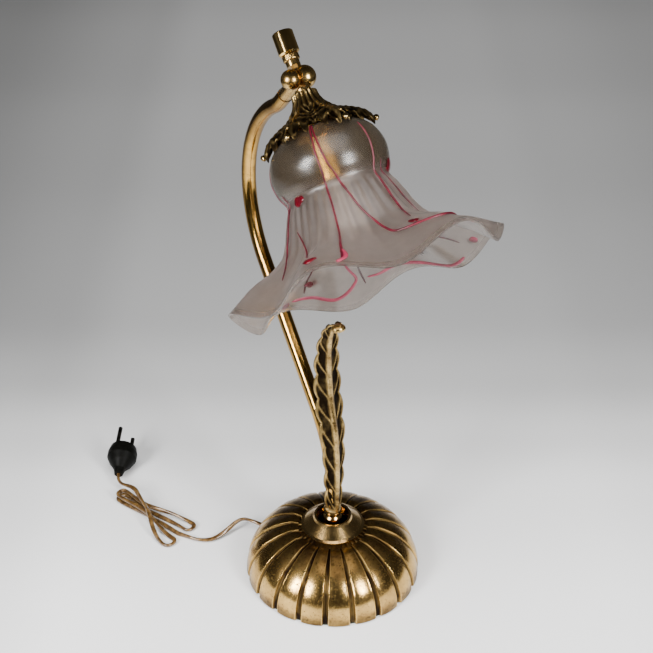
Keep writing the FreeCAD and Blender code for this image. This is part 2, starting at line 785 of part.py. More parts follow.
nut_top = -(boss_low + cap_web)
hex_nut("cap_nut", nut_radius - 1, head_nipple_radius + wall_fit, nut_top - head_nut_thick,
        head_nut_thick, HEAD)
nipple_end = holder_top + 8
turned("head_nipple", [
    (nipple_bore, -nipple_end), (head_nipple_radius, -nipple_end),
    (head_nipple_radius, -(joint_reach + 2)), (nipple_bore, -(joint_reach + 2))], HEAD)
turned("head_flex", [
    (0, -(nipple_end + 3)), (cord_radius, -(nipple_end + 3)),
    (cord_radius, -(joint_reach + 2.4)), (0, -(joint_reach + 2.4))], HEAD)

flange_low = glass_top - glass_seat
flange_top = flange_low - flange_thick
turned("lampholder_cap", [
    (head_nipple_radius + wall_fit, -(holder_top + 8)), (head_nipple_radius + wall_fit, -holder_top),
    (head_nipple_radius + 2.5, -holder_top), (holder_cap_radius, -(holder_top + 6)),
    (holder_cap_radius, -flange_top), (holder_flange, -flange_top), (holder_flange, -flange_low),
    (holder_radius - holder_wall, -flange_low), (holder_radius - holder_wall, -flange_top),
    (holder_cap_radius - 1.2, -(holder_top + 7)), (head_nipple_radius + 2, -(holder_top + 8))], HEAD)
turned("lampholder_shell", [
    (holder_radius - holder_wall, -holder_low), (holder_radius, -holder_low),
    (holder_radius, -(glass_top + wall_fit)), (holder_radius - holder_wall, -(glass_top + wall_fit))], HEAD)
core_top = glass_top + 3
turned("lampholder_core", [
    (0, -(core_top + 6)), (bulb_screw + 0.4, -(core_top + 6)), (bulb_screw + 0.4, -(holder_low - 2)),
    (holder_radius - holder_wall - wall_fit, -(holder_low - 2)),
    (holder_radius - holder_wall - wall_fit, -core_top), (0, -core_top)], HEAD)
ring_top = glass_top + glass_thick
turned("shade_ring", [
    (holder_radius + wall_fit, -(ring_top + shade_ring_thick)),
    (shade_ring_radius - 2, -(ring_top + shade_ring_thick)),
    (shade_ring_radius, -(ring_top + 2)), (shade_ring_radius, -ring_top),
    (holder_radius + wall_fit, -ring_top)], HEAD)
turned("bulb_cap", [
    (0, -(core_top + 6.4)), (3, -(core_top + 6.4)), (bulb_screw, -(core_top + 10)),
    (bulb_screw, -bulb_top), (bulb_screw - 0.5, -bulb_top), (bulb_screw - 0.5, -(core_top + 11)),
    (0, -(core_top + 11))], HEAD)


def bulb_glass():
    """Small round bulb: neck in the cap, globe below."""
    radius = bulb_glass_radius.value
    neck = bulb_screw.value - 0.6
    rim = bulb_top.value
    top = rim - radius * 0.43
    low = rim + bulb_long.value
    centre = low - radius
    half_way = radius * math.sqrt(0.5)
    curve = Part.BSplineCurve()
    curve.interpolate([Vector(neck, 0, -rim), Vector(neck + 1.5, 0, -(centre - radius * 1.5)),
                       Vector(radius, 0, -centre)],
                      InitialTangent=Vector(0, 0, -1), FinalTangent=Vector(0, 0, -1))
    arc = Part.Arc(Vector(radius, 0, -centre), Vector(half_way, 0, -centre - half_way), Vector(0, 0, -low))
    lines = [Part.LineSegment(Vector(0, 0, -low), Vector(0, 0, -top)).toShape(),
             Part.LineSegment(Vector(0, 0, -top), Vector(neck, 0, -top)).toShape(),
             Part.LineSegment(Vector(neck, 0, -top), Vector(neck, 0, -rim)).toShape()]
    outline = Part.Wire([curve.toShape(), arc.toShape()] + lines)
    solid = Part.Face(outline).revolve(Vector(0, 0, 0), Vector(0, 0, 1), 360)
    return shaped("bulb_glass", solid, HEAD)


bulb_glass()


def shade_point(share, angle, inset):
    """A point of the tulip glass: share 0 at the hole for the holder, 1 at the ruffled rim."""
    top = glass_top.value
    # radius and depth below the hinge along the shade's side
    side = [(glass_hole.value, top), (25, top + 0.6), (35, top + 6), (41.5, top + 14), (44.8, top + 26),
            (43.2, top + 38), (39.2, top + 47.5), (42, top + 55), (45.6, top + 64), (49.2, top + 74),
            (54.5, top + 84), (65, top + 92), (81, top + 100), (101.5, top + 115)]
    here = through(side, share)
    later = through(side, min(share + 0.004, 1))
    sooner = through(side, max(share - 0.004, 0))
    slope = math.hypot(later[0] - sooner[0], later[1] - sooner[1])
    inward = (-(later[1] - sooner[1]) / slope, (later[0] - sooner[0]) / slope)
    skirt = max(0, (share - 0.5) / 0.5)
    wave = math.cos(petals.value * (angle - math.radians(petal_turn.value)))
    reach = here[0] + inward[0] * inset + wave * rim_wave_out.value * skirt ** 1.2
    depth = here[1] + inward[1] * inset - wave * rim_wave_down.value * skirt ** 2.5
    return Vector(reach * math.sin(angle), -reach * math.cos(angle), -depth)


def glass_shade():
    """Blown bell of frosted glass: shoulder, waist and a flared rim of six petals."""
    columns = int(petals.value) * 12
    outer = skin(lambda share, angle: shade_point(share, angle, 0), 39, columns)
    inner = skin(lambda share, angle: shade_point(share, angle, glass_thick.value), 39, columns)
    return shaped("glass_shade", walled_solid(outer, inner), HEAD)


glass_shade()


# ---------------------------------------------------------------- cord, hank and plug

def cord_bush():
    """Insulating bush in the back of the base that the cord comes out of."""
    outer = bush_flange_thick.value
    inner = bush_inner.value
    flange = Part.makeCylinder(bush_flange.value, outer)
    flange = flange.makeFillet(outer / 3, [flange.Edges[0]])
    shank = Part.makeCylinder(bush_radius.value - wall_fit.value, inner, Vector(0, 0, -inner))
    bore = Part.makeCylinder(cord_radius.value + wall_fit.value, inner + outer, Vector(0, 0, -inner))
    shape = flange.fuse(shank).cut(bore)
    shape.Placement = exit_frame(base_radius.value)
    return shaped("cord_bush", shape)


cord_bush()

LEAD_START = 11.5
LEAD_ROUTE = [(-47.5, 85, 11.5), (-64, 81.5, 5.5), (-78, 80.3, 2.4), (-90, 88, 2.3), (-98.5, 100.5, 2.3)]
HANK_MIDDLE = Vector(-112.8, 141.3, 0)
HANK_TURN = 109.7
HANK_ENTRY = 5.5
TAIL_START = 12
TAIL_END = 10
OVER_TABLE = 0.1
PLUG_THROAT = Vector(-117.9, 201.1, 9)
PLUG_WAY = Vector(0.53, 0.81, 0.23)
PLUG_PIN_WAY = Vector(0.54, -0.13, -0.83)


def cord_arc(index, before, after, half_turn):
    """The largest arc that two runs of a cord allow, with a little of each run left straight."""
    return 0.45 * min(before, after) / math.tan(half_turn)


def cord_tube(label, corners):
    """A free stretch of cord; prints its arcs and its length for the report."""
    path, radii = rounded_path(corners, cord_arc)
    solid = tube_along(path, cord_radius.value)
    section = math.pi * cord_radius.value ** 2
    arcs = ", ".join("%.1f" % radius for radius in radii)
    print("%s: length %.1f, arcs %s, volume ratio %.4f"
          % (label, path.Length, arcs, solid.Volume / section / path.Length))
    return shaped(label, solid)


def lead_corners():
    start = exit_frame(bush_face()).Base
    outward = exit_frame(bush_face()).Rotation.multVec(Vector(0, 0, 1))
    return [start, start + outward * LEAD_START] + [Vector(*point) for point in LEAD_ROUTE]


cord_tube("cord_lead", lead_corners())


HANK_STATIONS = [-34, -20, -6, 8, 18, 30]
HANK_WAIST = 8


def hank_corners():
    """Five strands folded to and fro, spread at the near end, drawn in at the waist."""
    pitch = 2 * cord_radius.value + hank_gap.value
    hank_loop = hank_half_loop.value
    low = cord_radius.value + OVER_TABLE
    mid = low + pitch
    high = low + pitch * 2.05
    # for each strand its offset and height at the spread end, at the waist and at the tight end
    strands = [((0.5, low), (pitch * 0.5, low), (hank_loop, low)),
               ((-6.5, low), (-pitch * 0.5, low), (-hank_loop, low)),
               ((-16.5, low), (-pitch * 0.5, mid), (-hank_loop, mid)),
               ((9, low), (pitch * 0.5, mid), (hank_loop, mid)),
               ((20, low), (0, high), (-9.8, high))]
    turn = Rotation(Vector(0, 0, 1), HANK_TURN)
    corners = []
    for index, (spread, drawn, tight) in enumerate(strands):
        strand = []
        for along in HANK_STATIONS:
            if along < HANK_WAIST:
                share = ease((HANK_WAIST - along) / (HANK_WAIST - HANK_STATIONS[0]))
                place = (blend(drawn[0], spread[0], share), blend(drawn[1], spread[1], share ** 2.4))
            else:
                share = ease((along - HANK_WAIST) / (HANK_STATIONS[-1] - HANK_WAIST))
                place = (blend(drawn[0], tight[0], share), blend(drawn[1], tight[1], share))
            strand.append(Vector(along, place[0], place[1]))
        if index == len(strands) - 1:
            strand = strand[:-1]
        if index % 2:
            strand.reverse()
        # odd strands run back from the tight end; a return reaches out as far as it is wide
        outward = 1 if index % 2 else -1
        if index > 0:
            before = strands[index - 1]
            wide = abs(before[2][0] - tight[0]) if index % 2 else abs(before[0][0] - spread[0])
            strand.insert(0, strand[0] + Vector(outward * wide, 0, 0))
        if index < len(strands) - 1:
            after = strands[index + 1]
            wide = abs(after[0][0] - spread[0]) if index % 2 else abs(after[2][0] - tight[0])
            strand.append(strand[-1] - Vector(outward * wide, 0, 0))
        corners += strand
    return [HANK_MIDDLE + turn.multVec(point) for point in corners]


def loop_arc(index, before, after, half_turn):
    """Arcs of the hank: nearly the whole of the shorter run, so that a return is two quarter turns."""
    return 0.49 * min(before, after) / math.tan(half_turn)


def least_gap(path, apart):
    """Least gap between two stretches of the tube that lie more than apart along it."""
    points = path.discretize(Distance=1.2)
    least = 1e9
    skip = int(apart / 1.2)
    for index in range(len(points)):
        for other in range(index + skip, len(points)):
            least = min(least, points[index].distanceToPoint(points[other]))
    return least - 2 * cord_radius.value


def cord_hank():
    """The folded hank, one unbroken tube that starts and ends along its neighbours' runs."""
    lead = lead_corners()
    start = lead[-1]
    inward = (lead[-1] - lead[-2]).normalize()
    corners = [start, start + inward * HANK_ENTRY] + hank_corners()[1:]
    path, radii = rounded_path(corners, loop_arc)
    solid = tube_along(path, cord_radius.value)
    section = math.pi * cord_radius.value ** 2
    print("cord_hank: length %.1f, least arc %.1f, least gap to itself %.2f, volume ratio %.4f"
          % (path.Length, min(radii), least_gap(path, 12), solid.Volume / section / path.Length))
    shaped("cord_hank", solid)
    return corners


hank = cord_hank()


def tail_corners():
    way = Vector(PLUG_WAY).normalize()
    start = hank[-1]
    onward = (hank[-1] - hank[-2]).normalize()
    return [start, start + onward * TAIL_START, PLUG_THROAT - way * TAIL_END, PLUG_THROAT]


cord_tube("cord_tail", tail_corners())


def plug_frame():
    """Place of the plug: origin at its throat, +Z along its axis, +X through both pins."""
    way = Vector(PLUG_WAY).normalize()
    across = Vector(PLUG_PIN_WAY) - way * Vector(PLUG_PIN_WAY).dot(way)
    return Placement(PLUG_THROAT, Rotation(across.normalize(), way.cross(across), way, "ZXY"))


def plug_pieces():
    """Round two-pin plug with a tapered throat, and its two pins."""
    radius = plug_radius
    body = turned("plug_body", [
        (cord_radius + wall_fit, 0), (cord_radius + 2, 0), (cord_radius + 3.4, 6),
        (radius * 0.78, 13), (radius, 19), (radius, 25), (radius - 1.5, plug_long),
        (0, plug_long), (0, 8), (cord_radius + wall_fit, 8)])
    body.Placement = plug_frame()
    pins = []
    for side, sign in (("first", -1), ("second", 1)):
        bar = cylinder_at(side + "_pin", plug_pin_radius, plug_pin_long, Placement())
        bar.setExpression("Placement.Base.x", (plug_pin_apart / 2 * sign).text)
        bar.setExpression("Placement.Base.z", plug_long.text)
        pins.append(bar)
    pair = doc.addObject("Part::Compound", "plug_pin_pair")
    pair.Links = pins
    pair.Placement = plug_frame()
    keep(pair, "plug_pins")


plug_pieces()


# ---------------------------------------------------------------- write the pieces

doc.recompute()
problems = []
for item in doc.Objects:
    if "Invalid" in item.State or "Error" in item.State:
        problems.append("%s: %s" % (item.Name, item.State))
for piece in SUB_PARTS:
    if piece.Shape.isNull() or not piece.Shape.isValid():
        problems.append("%s has no valid shape" % piece.Label)
if problems:
    raise RuntimeError("; ".join(problems))
for piece in SUB_PARTS:
    piece.Shape.exportStep("parts/%s.step" % piece.Label)
    print("%-18s solids %d  volume %.0f" % (piece.Label, len(piece.Shape.Solids), piece.Shape.Volume))
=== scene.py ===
import math

import bmesh
import bpy
import numpy as np
from mathutils import Matrix, Vector


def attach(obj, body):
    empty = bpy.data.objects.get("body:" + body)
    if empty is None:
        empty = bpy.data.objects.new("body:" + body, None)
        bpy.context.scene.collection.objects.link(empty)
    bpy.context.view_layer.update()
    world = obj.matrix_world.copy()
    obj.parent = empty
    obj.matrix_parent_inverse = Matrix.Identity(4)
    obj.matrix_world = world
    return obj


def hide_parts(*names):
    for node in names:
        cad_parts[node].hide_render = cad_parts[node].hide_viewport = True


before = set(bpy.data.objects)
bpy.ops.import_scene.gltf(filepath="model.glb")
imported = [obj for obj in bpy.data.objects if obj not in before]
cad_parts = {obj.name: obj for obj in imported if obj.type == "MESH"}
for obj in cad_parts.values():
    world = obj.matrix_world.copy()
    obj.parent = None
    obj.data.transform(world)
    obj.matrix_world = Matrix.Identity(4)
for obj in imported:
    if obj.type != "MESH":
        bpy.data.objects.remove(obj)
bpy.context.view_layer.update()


# ---- Table top and room ------------------------------------------------------
# A pale matt sheet of paper on the table in a dark room, with painted light on it, bright in front
# and greyer behind the lamp. Two tall softboxes stand in front, left and right of the camera.

def new_finish(name):
    """A material with its Principled shader."""
    finish = bpy.data.materials.new(name)
    finish.use_nodes = True
    return finish, finish.node_tree, finish.node_tree.nodes["Principled BSDF"]


def feed(tree, node, values):
    """Set a node's inputs, each to a plain value or to what another node gives."""
    for key, value in values.items():
        if isinstance(value, bpy.types.NodeSocket):
            tree.links.new(value, node.inputs[key])
        else:
            node.inputs[key].default_value = value


def add(tree, kind, values=None, **settings):
    """A node with its settings and what goes into its inputs."""
    made = tree.nodes.new(kind)
    for key, value in settings.items():
        setattr(made, key, value)
    feed(tree, made, values or {})
    return made


def own_place(tree):
    """Where a point lies on its piece."""
    return add(tree, "ShaderNodeTexCoord").outputs["Object"]


def read_mask(tree, mask):
    """A piece's own value at a point."""
    return add(tree, "ShaderNodeAttribute", attribute_name=mask).outputs["Fac"]


def stretched(tree, source, low, high):
    """Source from low to high as 0 to 1."""
    return add(tree, "ShaderNodeMapRange",
               {"Value": source, "From Min": low, "From Max": high}).outputs["Result"]


def blended(tree, share, first, second, **settings):
    """One colour into another by share."""
    return add(tree, "ShaderNodeMix", {"Factor": share, 6: first, 7: second},
               data_type="RGBA", **settings).outputs[2]


def ramp(tree, source, stops, interpolation="LINEAR"):
    """The colour of a ramp fed by source; stops are (place, grey or colour)."""
    made = add(tree, "ShaderNodeValToRGB", {"Fac": source})
    made.color_ramp.interpolation = interpolation
    elements = made.color_ramp.elements
    while len(elements) < len(stops):
        elements.new(0.5)
    for element, (place, tone) in zip(elements, stops):
        element.position = place
        element.color = (*tone, 1) if isinstance(tone, tuple) else (tone, tone, tone, 1)
    return made.outputs["Color"]


def new_group(name, takes, gives):
    """A node group that takes (name, kind, value) and gives (name, kind), and what it is fed."""
    group = bpy.data.node_groups.new(name, "ShaderNodeTree")
    for key, kind, value in takes:
        socket = group.interface.new_socket(key, in_out="INPUT", socket_type="NodeSocket" + kind)
        socket.default_value = value
    for key, kind in gives:
        group.interface.new_socket(key, in_out="OUTPUT", socket_type="NodeSocket" + kind)
    return group, add(group, "NodeGroupInput").outputs


def mottle_group():
    """Fine noise over a piece's own place, from 0 to 1."""
    sizes = {"Scale": 100.0, "Detail": 4.0, "Roughness": 0.5}
    group, given = new_group("mottle", [(key, "Float", value) for key, value in sizes.items()],
                             [("Mottle", "Float")])
    noise = add(group, "ShaderNodeTexNoise",
                {"Vector": own_place(group), **{key: given[key] for key in sizes}})
    add(group, "NodeGroupOutput", {"Mottle": noise.outputs["Fac"]})
    return group


mottle = mottle_group()


def mottled(tree, scale, detail, roughness=0.5):
    """The mottle placed in a material with its own values."""
    sizes = {"Scale": scale, "Detail": detail, "Roughness": roughness}
    return add(tree, "ShaderNodeGroup", sizes, node_tree=mottle).outputs["Mottle"]


# the way the camera looks along the table, and its right
look_way = Vector((0.5, 0.8660254, 0))
look_right = Vector((look_way.y, -look_way.x, 0))
paper_near, paper_far, paper_half = -0.45, 1.75, 0.72
# painted light on the paper at a share of the way from its front, and its painted falloff to the
# sides
painted_light_ahead = [(0.00, 0.90), (0.18, 0.87), (0.25, 0.72), (0.29, 0.56), (0.335, 0.40), (0.39, 0.32),
               (0.52, 0.33), (0.68, 0.41), (0.84, 0.50)]
painted_light_sideways = [(0.0, 0.50), (0.11, 0.57), (0.285, 0.82), (0.35, 1.0), (0.66, 1.0), (0.715, 0.93),
              (0.89, 0.78)]

table_finish, tree, shader = new_finish("table_paper")
painted_light = []
for way, low, high, painted_tones in ((look_way, paper_near, paper_far, painted_light_ahead),
                              (look_right, -paper_half, paper_half, painted_light_sideways)):
    reach = add(tree, "ShaderNodeVectorMath", {0: own_place(tree), 1: way},
                operation="DOT_PRODUCT").outputs["Value"]
    painted_light.append(ramp(tree, stretched(tree, reach, low, high), painted_tones, "EASE"))
# the paper's colour carries the painted light and its painted falloff to the sides
feed(tree, shader, {
    "Base Color": blended(tree, 1.0, *painted_light, blend_type="MULTIPLY"),
    "Roughness": ramp(tree, mottled(tree, 3.0, 3.0), [(0, 0.5), (1, 0.62)])})

corners = ((paper_near, -paper_half), (paper_near, paper_half), (paper_far, paper_half),
           (paper_far, -paper_half))
table_mesh = bpy.data.meshes.new("table_top")
table_mesh.from_pydata([look_way * ahead + look_right * side for ahead, side in corners],
                       [], [(0, 1, 2, 3)])
table_top = bpy.data.objects.new("table_top", table_mesh)
table_mesh.materials.append(table_finish)
bpy.context.scene.collection.objects.link(table_top)

# what the camera and the glass see past the paper
backdrop_grey = (0.30, 0.30, 0.298, 1)
room = bpy.data.worlds.new("room")
bpy.context.scene.world = room
room.use_nodes = True
tree = room.node_tree
way = add(tree, "ShaderNodeTexCoord").outputs["Generated"]
upward = add(tree, "ShaderNodeSeparateXYZ", {0: way}).outputs["Z"]
sky_tone = ramp(tree, stretched(tree, upward, -0.1, 0.9),
                [(0, (0.03, 0.03, 0.03)), (0.1, (0.12, 0.117, 0.112)), (0.3, (0.050, 0.047, 0.044)),
                 (1, (0.020, 0.019, 0.018))])
ray = add(tree, "ShaderNodeLightPath").outputs
seen = add(tree, "ShaderNodeMath", {0: ray["Is Camera Ray"], 1: ray["Is Transmission Ray"]},
           operation="MAXIMUM").outputs[0]
feed(tree, tree.nodes["Background"],
     {"Color": blended(tree, seen, sky_tone, backdrop_grey), "Strength": 1.0})


lamp_aim = Vector((0, 0, 0.18))


def softbox(name, turn, distance, height, size, power):
    """A soft lamp round the object; turn is in degrees from the camera's side, to its right."""
    light = bpy.data.lights.new(name, "AREA")
    light.shape = "RECTANGLE"
    light.size, light.size_y = size
    light.energy = power
    turn = math.radians(turn)
    spot = (look_right * math.sin(turn) - look_way * math.cos(turn)) * distance
    spot += Vector((0, 0, height))
    lamp = bpy.data.objects.new(name, light)
    lamp.location = spot
    lamp.rotation_mode = "QUATERNION"
    lamp.rotation_quaternion = (lamp_aim - spot).to_track_quat("-Z", "Y")
    bpy.context.scene.collection.objects.link(lamp)
    return lamp


softbox("softbox_left", turn=-46, distance=1.15, height=0.80, size=(0.40, 0.56), power=31)
softbox("softbox_right", turn=42, distance=1.15, height=0.85, size=(0.34, 0.56), power=26)
# a wide weak lamp overhead that fills the table and is too dim to show in the brass
ceiling = softbox("softbox_top", turn=5, distance=0.55, height=1.9, size=(1.6, 1.6), power=54)
ceiling.visible_glossy = False


# ---- Camera ------------------------------------------------------------------
# Stands in front of the lamp and to its left, a little over a metre away, and looks down on
# it at the photograph's angle.

camera_place = Vector((-0.4368, -0.7460, 0.8083))
camera_pitch = math.radians(32.84)

camera_data = bpy.data.cameras.new("camera")
camera_data.lens = 73.0
camera_data.sensor_width = 36.0
camera = bpy.data.objects.new("camera", camera_data)
camera.location = camera_place
camera.rotation_mode = "QUATERNION"
look = look_way * math.cos(camera_pitch) - Vector((0, 0, math.sin(camera_pitch)))
camera.rotation_quaternion = look.to_track_quat("-Z", "Y")
bpy.context.scene.collection.objects.link(camera)
bpy.context.scene.camera = camera


# ---- Cord --------------------------------------------------------------------
# Clear gold plastic twin flex, thin and limp. It leaves the back of the base, dips to the
# table, runs to a small hank of five strands laid to and fro, and on to the plug.

cord_thick, cord_thin = 0.0042, 0.0034
cord_start = Vector((-0.032457, 0.069604, 0.008))
lead_route = [(-0.037317, 0.080027, 0.008), (-0.0475, 0.085, 0.0115), (-0.064, 0.0815, 0.0055),
              (-0.078, 0.0803, 0.0024), (-0.090, 0.088, 0.0023), (-0.0985, 0.1005, 0.0023)]
hank_entry = 0.0055
hank_middle = Vector((-0.1128, 0.1413, 0))
hank_turn = math.radians(109.7)
hank_stations = [-0.034, -0.020, -0.006, 0.008, 0.018, 0.030]
hank_waist = 0.008
hank_exit = 0.012
plug_throat = Vector((-0.1179, 0.2011, 0.009))
plug_way = Vector((0.53, 0.81, 0.23)).normalized()
throat_run, throat_depth = 0.010, 0.001
point_spacing = 0.0004
flex_sides = 16
flex_pinch = 0.22
flex_twist = 60


def ease(share):
    """Soft step from 0 to 1."""
    share = min(max(share, 0), 1)
    return share * share * (3 - 2 * share)


def hank_route():
    """Five strands: offset and height at the spread end, at the waist and at the tight end."""
    pitch = 0.0053
    low = 0.0022
    mid = low + pitch
    high = low + pitch * 2.05
    half_loop = 0.0047
    strands = [((0.0005, low), (pitch / 2, low), (half_loop, low)),
               ((-0.0065, low), (-pitch / 2, low), (-half_loop, low)),
               ((-0.0165, low), (-pitch / 2, mid), (-half_loop, mid)),
               ((0.009, low), (pitch / 2, mid), (half_loop, mid)),
               ((0.020, low), (0, high), (-0.0098, high))]
    route = []
    for index, (spread, drawn, tight) in enumerate(strands):
        strand = []
        for along in hank_stations:
            if along < hank_waist:
                share = ease((hank_waist - along) / (hank_waist - hank_stations[0]))
                offset = drawn[0] + (spread[0] - drawn[0]) * share
                height = drawn[1] + (spread[1] - drawn[1]) * share ** 2.4
            else:
                share = ease((along - hank_waist) / (hank_stations[-1] - hank_waist))
                offset = drawn[0] + (tight[0] - drawn[0]) * share
                height = drawn[1] + (tight[1] - drawn[1]) * share
            strand.append(Vector((along, offset, height)))
        if index == len(strands) - 1:
            strand = strand[:-1]
        if index % 2:
            strand.reverse()
        outward = 1 if index % 2 else -1
        if index > 0:
            before = strands[index - 1]
            wide = abs(before[2][0] - tight[0]) if index % 2 else abs(before[0][0] - spread[0])
            strand.insert(0, strand[0] + Vector((outward * wide, 0, 0)))
        if index < len(strands) - 1:
            after = strands[index + 1]
            wide = abs(after[0][0] - spread[0]) if index % 2 else abs(after[2][0] - tight[0])
            strand.append(strand[-1] - Vector((outward * wide, 0, 0)))
        route += strand
    turn = Matrix.Rotation(hank_turn, 3, "Z")
    return [hank_middle + turn @ point for point in route]


def spline_points(name, route):
    """The points of one smooth open spline that has the route as its control points."""
    line = bpy.data.curves.new(name, "CURVE")
    line.dimensions = "3D"
    spline = line.splines.new("NURBS")
    spline.points.add(len(route) - 1)
    for point, spot in zip(spline.points, route):
        point.co = (*spot, 1)
    spline.order_u = 3
    spline.use_endpoint_u = True
    spline.resolution_u = 8
    holder = bpy.data.objects.new(name, line)
    mesh = bpy.data.meshes.new_from_object(holder)
    points = [mesh.vertices[0].co.copy()]
    for vertex in mesh.vertices:
        if (vertex.co - points[-1]).length > point_spacing:
            points.append(vertex.co.copy())
    bpy.data.objects.remove(holder)
    bpy.data.meshes.remove(mesh)
    return points


def ringed(name, rings, body, finish, closed=False, capped=False, masks=None, crease=38):
    """A smooth mesh through rings of points, each ring closed; masks are values per point."""
    rings = np.asarray(rings, float)
    rows, around = rings.shape[:2]
    mesh = bpy.data.meshes.new(name)
    faces = []
    for row in range(rows if closed else rows - 1):
        first = row * around
        second = (row + 1) % rows * around
        for step in range(around):
            after = (step + 1) % around
            faces.append((first + step, first + after, second + after, second + step))
    if capped:
        faces.append(tuple(reversed(range(around))))
        faces.append(tuple(range((rows - 1) * around, rows * around)))
    mesh.from_pydata([tuple(point) for point in rings.reshape(-1, 3)], [], faces)
    for mask, values in (masks or {}).items():
        layer = mesh.attributes.new(mask, "FLOAT", "POINT")
        layer.data.foreach_set("value", np.asarray(values, np.float32).ravel())
    mesh.validate()
    measured = bmesh.new()
    measured.from_mesh(mesh)
    if measured.calc_volume(signed=True) < 0:
        mesh.flip_normals()
    measured.free()
    mesh.polygons.foreach_set("use_smooth", [True] * len(mesh.polygons))
    mesh.set_sharp_from_angle(angle=math.radians(crease))
    mesh.materials.append(finish)
    piece = bpy.data.objects.new(name, mesh)
    bpy.context.scene.collection.objects.link(piece)
    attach(piece, body)
    return piece


def flex_rings(points):
    """Rings of a twin flex, two round cores side by side, that turns slowly along its line."""
    last = len(points) - 1
    side = Vector((0, 0, 1)).cross(points[1] - points[0]).normalized()
    rings = []
    run = 0.0
    for index, spot in enumerate(points):
        way = (points[min(index + 1, last)] - points[max(index - 1, 0)]).normalized()
        if index:
            run += (spot - points[index - 1]).length
        side = (side - way * side.dot(way)).normalized()
        across = Matrix.Rotation(flex_twist * run, 3, way) @ side
        above = way.cross(across)
        ring = []
        for step in range(flex_sides):
            angle = 2 * math.pi * step / flex_sides
            pinch = 1 - flex_pinch * math.sin(angle) ** 8
            ring.append(spot + across * (cord_thick / 2 * math.cos(angle))
                        + above * (cord_thin / 2 * math.sin(angle) * pinch))
        rings.append(ring)
    return rings


def emboss(tree, height, strength, distance):
    """Fine relief from a height."""
    return add(tree, "ShaderNodeBump", {"Strength": strength, "Distance": distance,
                                        "Height": height}).outputs["Normal"]


def grained(name, grain, tones, rough=None, relief=None, plain=None):
    """A material with mottled colour, roughness and relief; plain values go to its shader."""
    finish, tree, shader = new_finish(name)
    fine = mottled(tree, *grain)
    feed(tree, shader, {"Base Color": ramp(tree, fine, tones), **(plain or {})})
    if rough:
        feed(tree, shader, {"Roughness": ramp(tree, fine, rough)})
    if relief:
        feed(tree, shader, {"Normal": emboss(tree, fine, *relief)})
    return finish


cord_gold = grained("cord_gold", (260.0, 4.0, 0.6),
                    [(0.30, (0.035, 0.015, 0.004)), (0.5, (0.11, 0.056, 0.015)),
                     (0.72, (0.28, 0.160, 0.048))], [(0, 0.26), (1, 0.42)], (0.25, 0.0004),
                    {"Metallic": 0.35, "Coat Weight": 0.8, "Coat Roughness": 0.12})

lead_in = Vector(lead_route[-1]) - Vector(lead_route[-2])
hank = [Vector(lead_route[-1]) + lead_in.normalized() * hank_entry] + hank_route()[1:]
onward = (hank[-1] - hank[-2]).normalized()
tail = [hank[-1] + onward * hank_exit, plug_throat - plug_way * throat_run,
        plug_throat + plug_way * throat_depth]
cord_route = [cord_start] + [Vector(point) for point in lead_route] + hank + tail
cord_line = spline_points("cord_line", cord_route)
cord = ringed("cord", flex_rings(cord_line), "stand", cord_gold, capped=True)
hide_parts("cord_lead", "cord_hank", "cord_tail")
[tuple(point) for point in cord_line]


# ---- Plug, pins and bush -----------------------------------------------------
# Round black two-pin plug of moulded plastic, lightly scuffed, with dark plated round pins,
# and the small black bush that keeps the cord off the edge of the base.

plug_black = grained("plug_black", (420.0, 5.0, 0.7),
                     [(0.3, (0.001, 0.001, 0.001)), (0.75, (0.004, 0.004, 0.003))],
                     [(0.2, 0.34), (0.8, 0.62)], (0.15, 0.0003), {"Specular IOR Level": 0.06})
pin_metal = grained("pin_metal", (300.0, 3.0),
                    [(0.3, (0.035, 0.032, 0.028)), (0.8, (0.12, 0.11, 0.095))],
                    [(0.2, 0.28), (0.8, 0.46)], plain={"Metallic": 1.0})


def dress(finish, *names):
    """Give CAD pieces their finish."""
    for name in names:
        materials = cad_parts[name].data.materials
        materials.clear()
        materials.append(finish)


dress(plug_black, "plug_body", "cord_bush")
dress(pin_metal, "plug_pins")
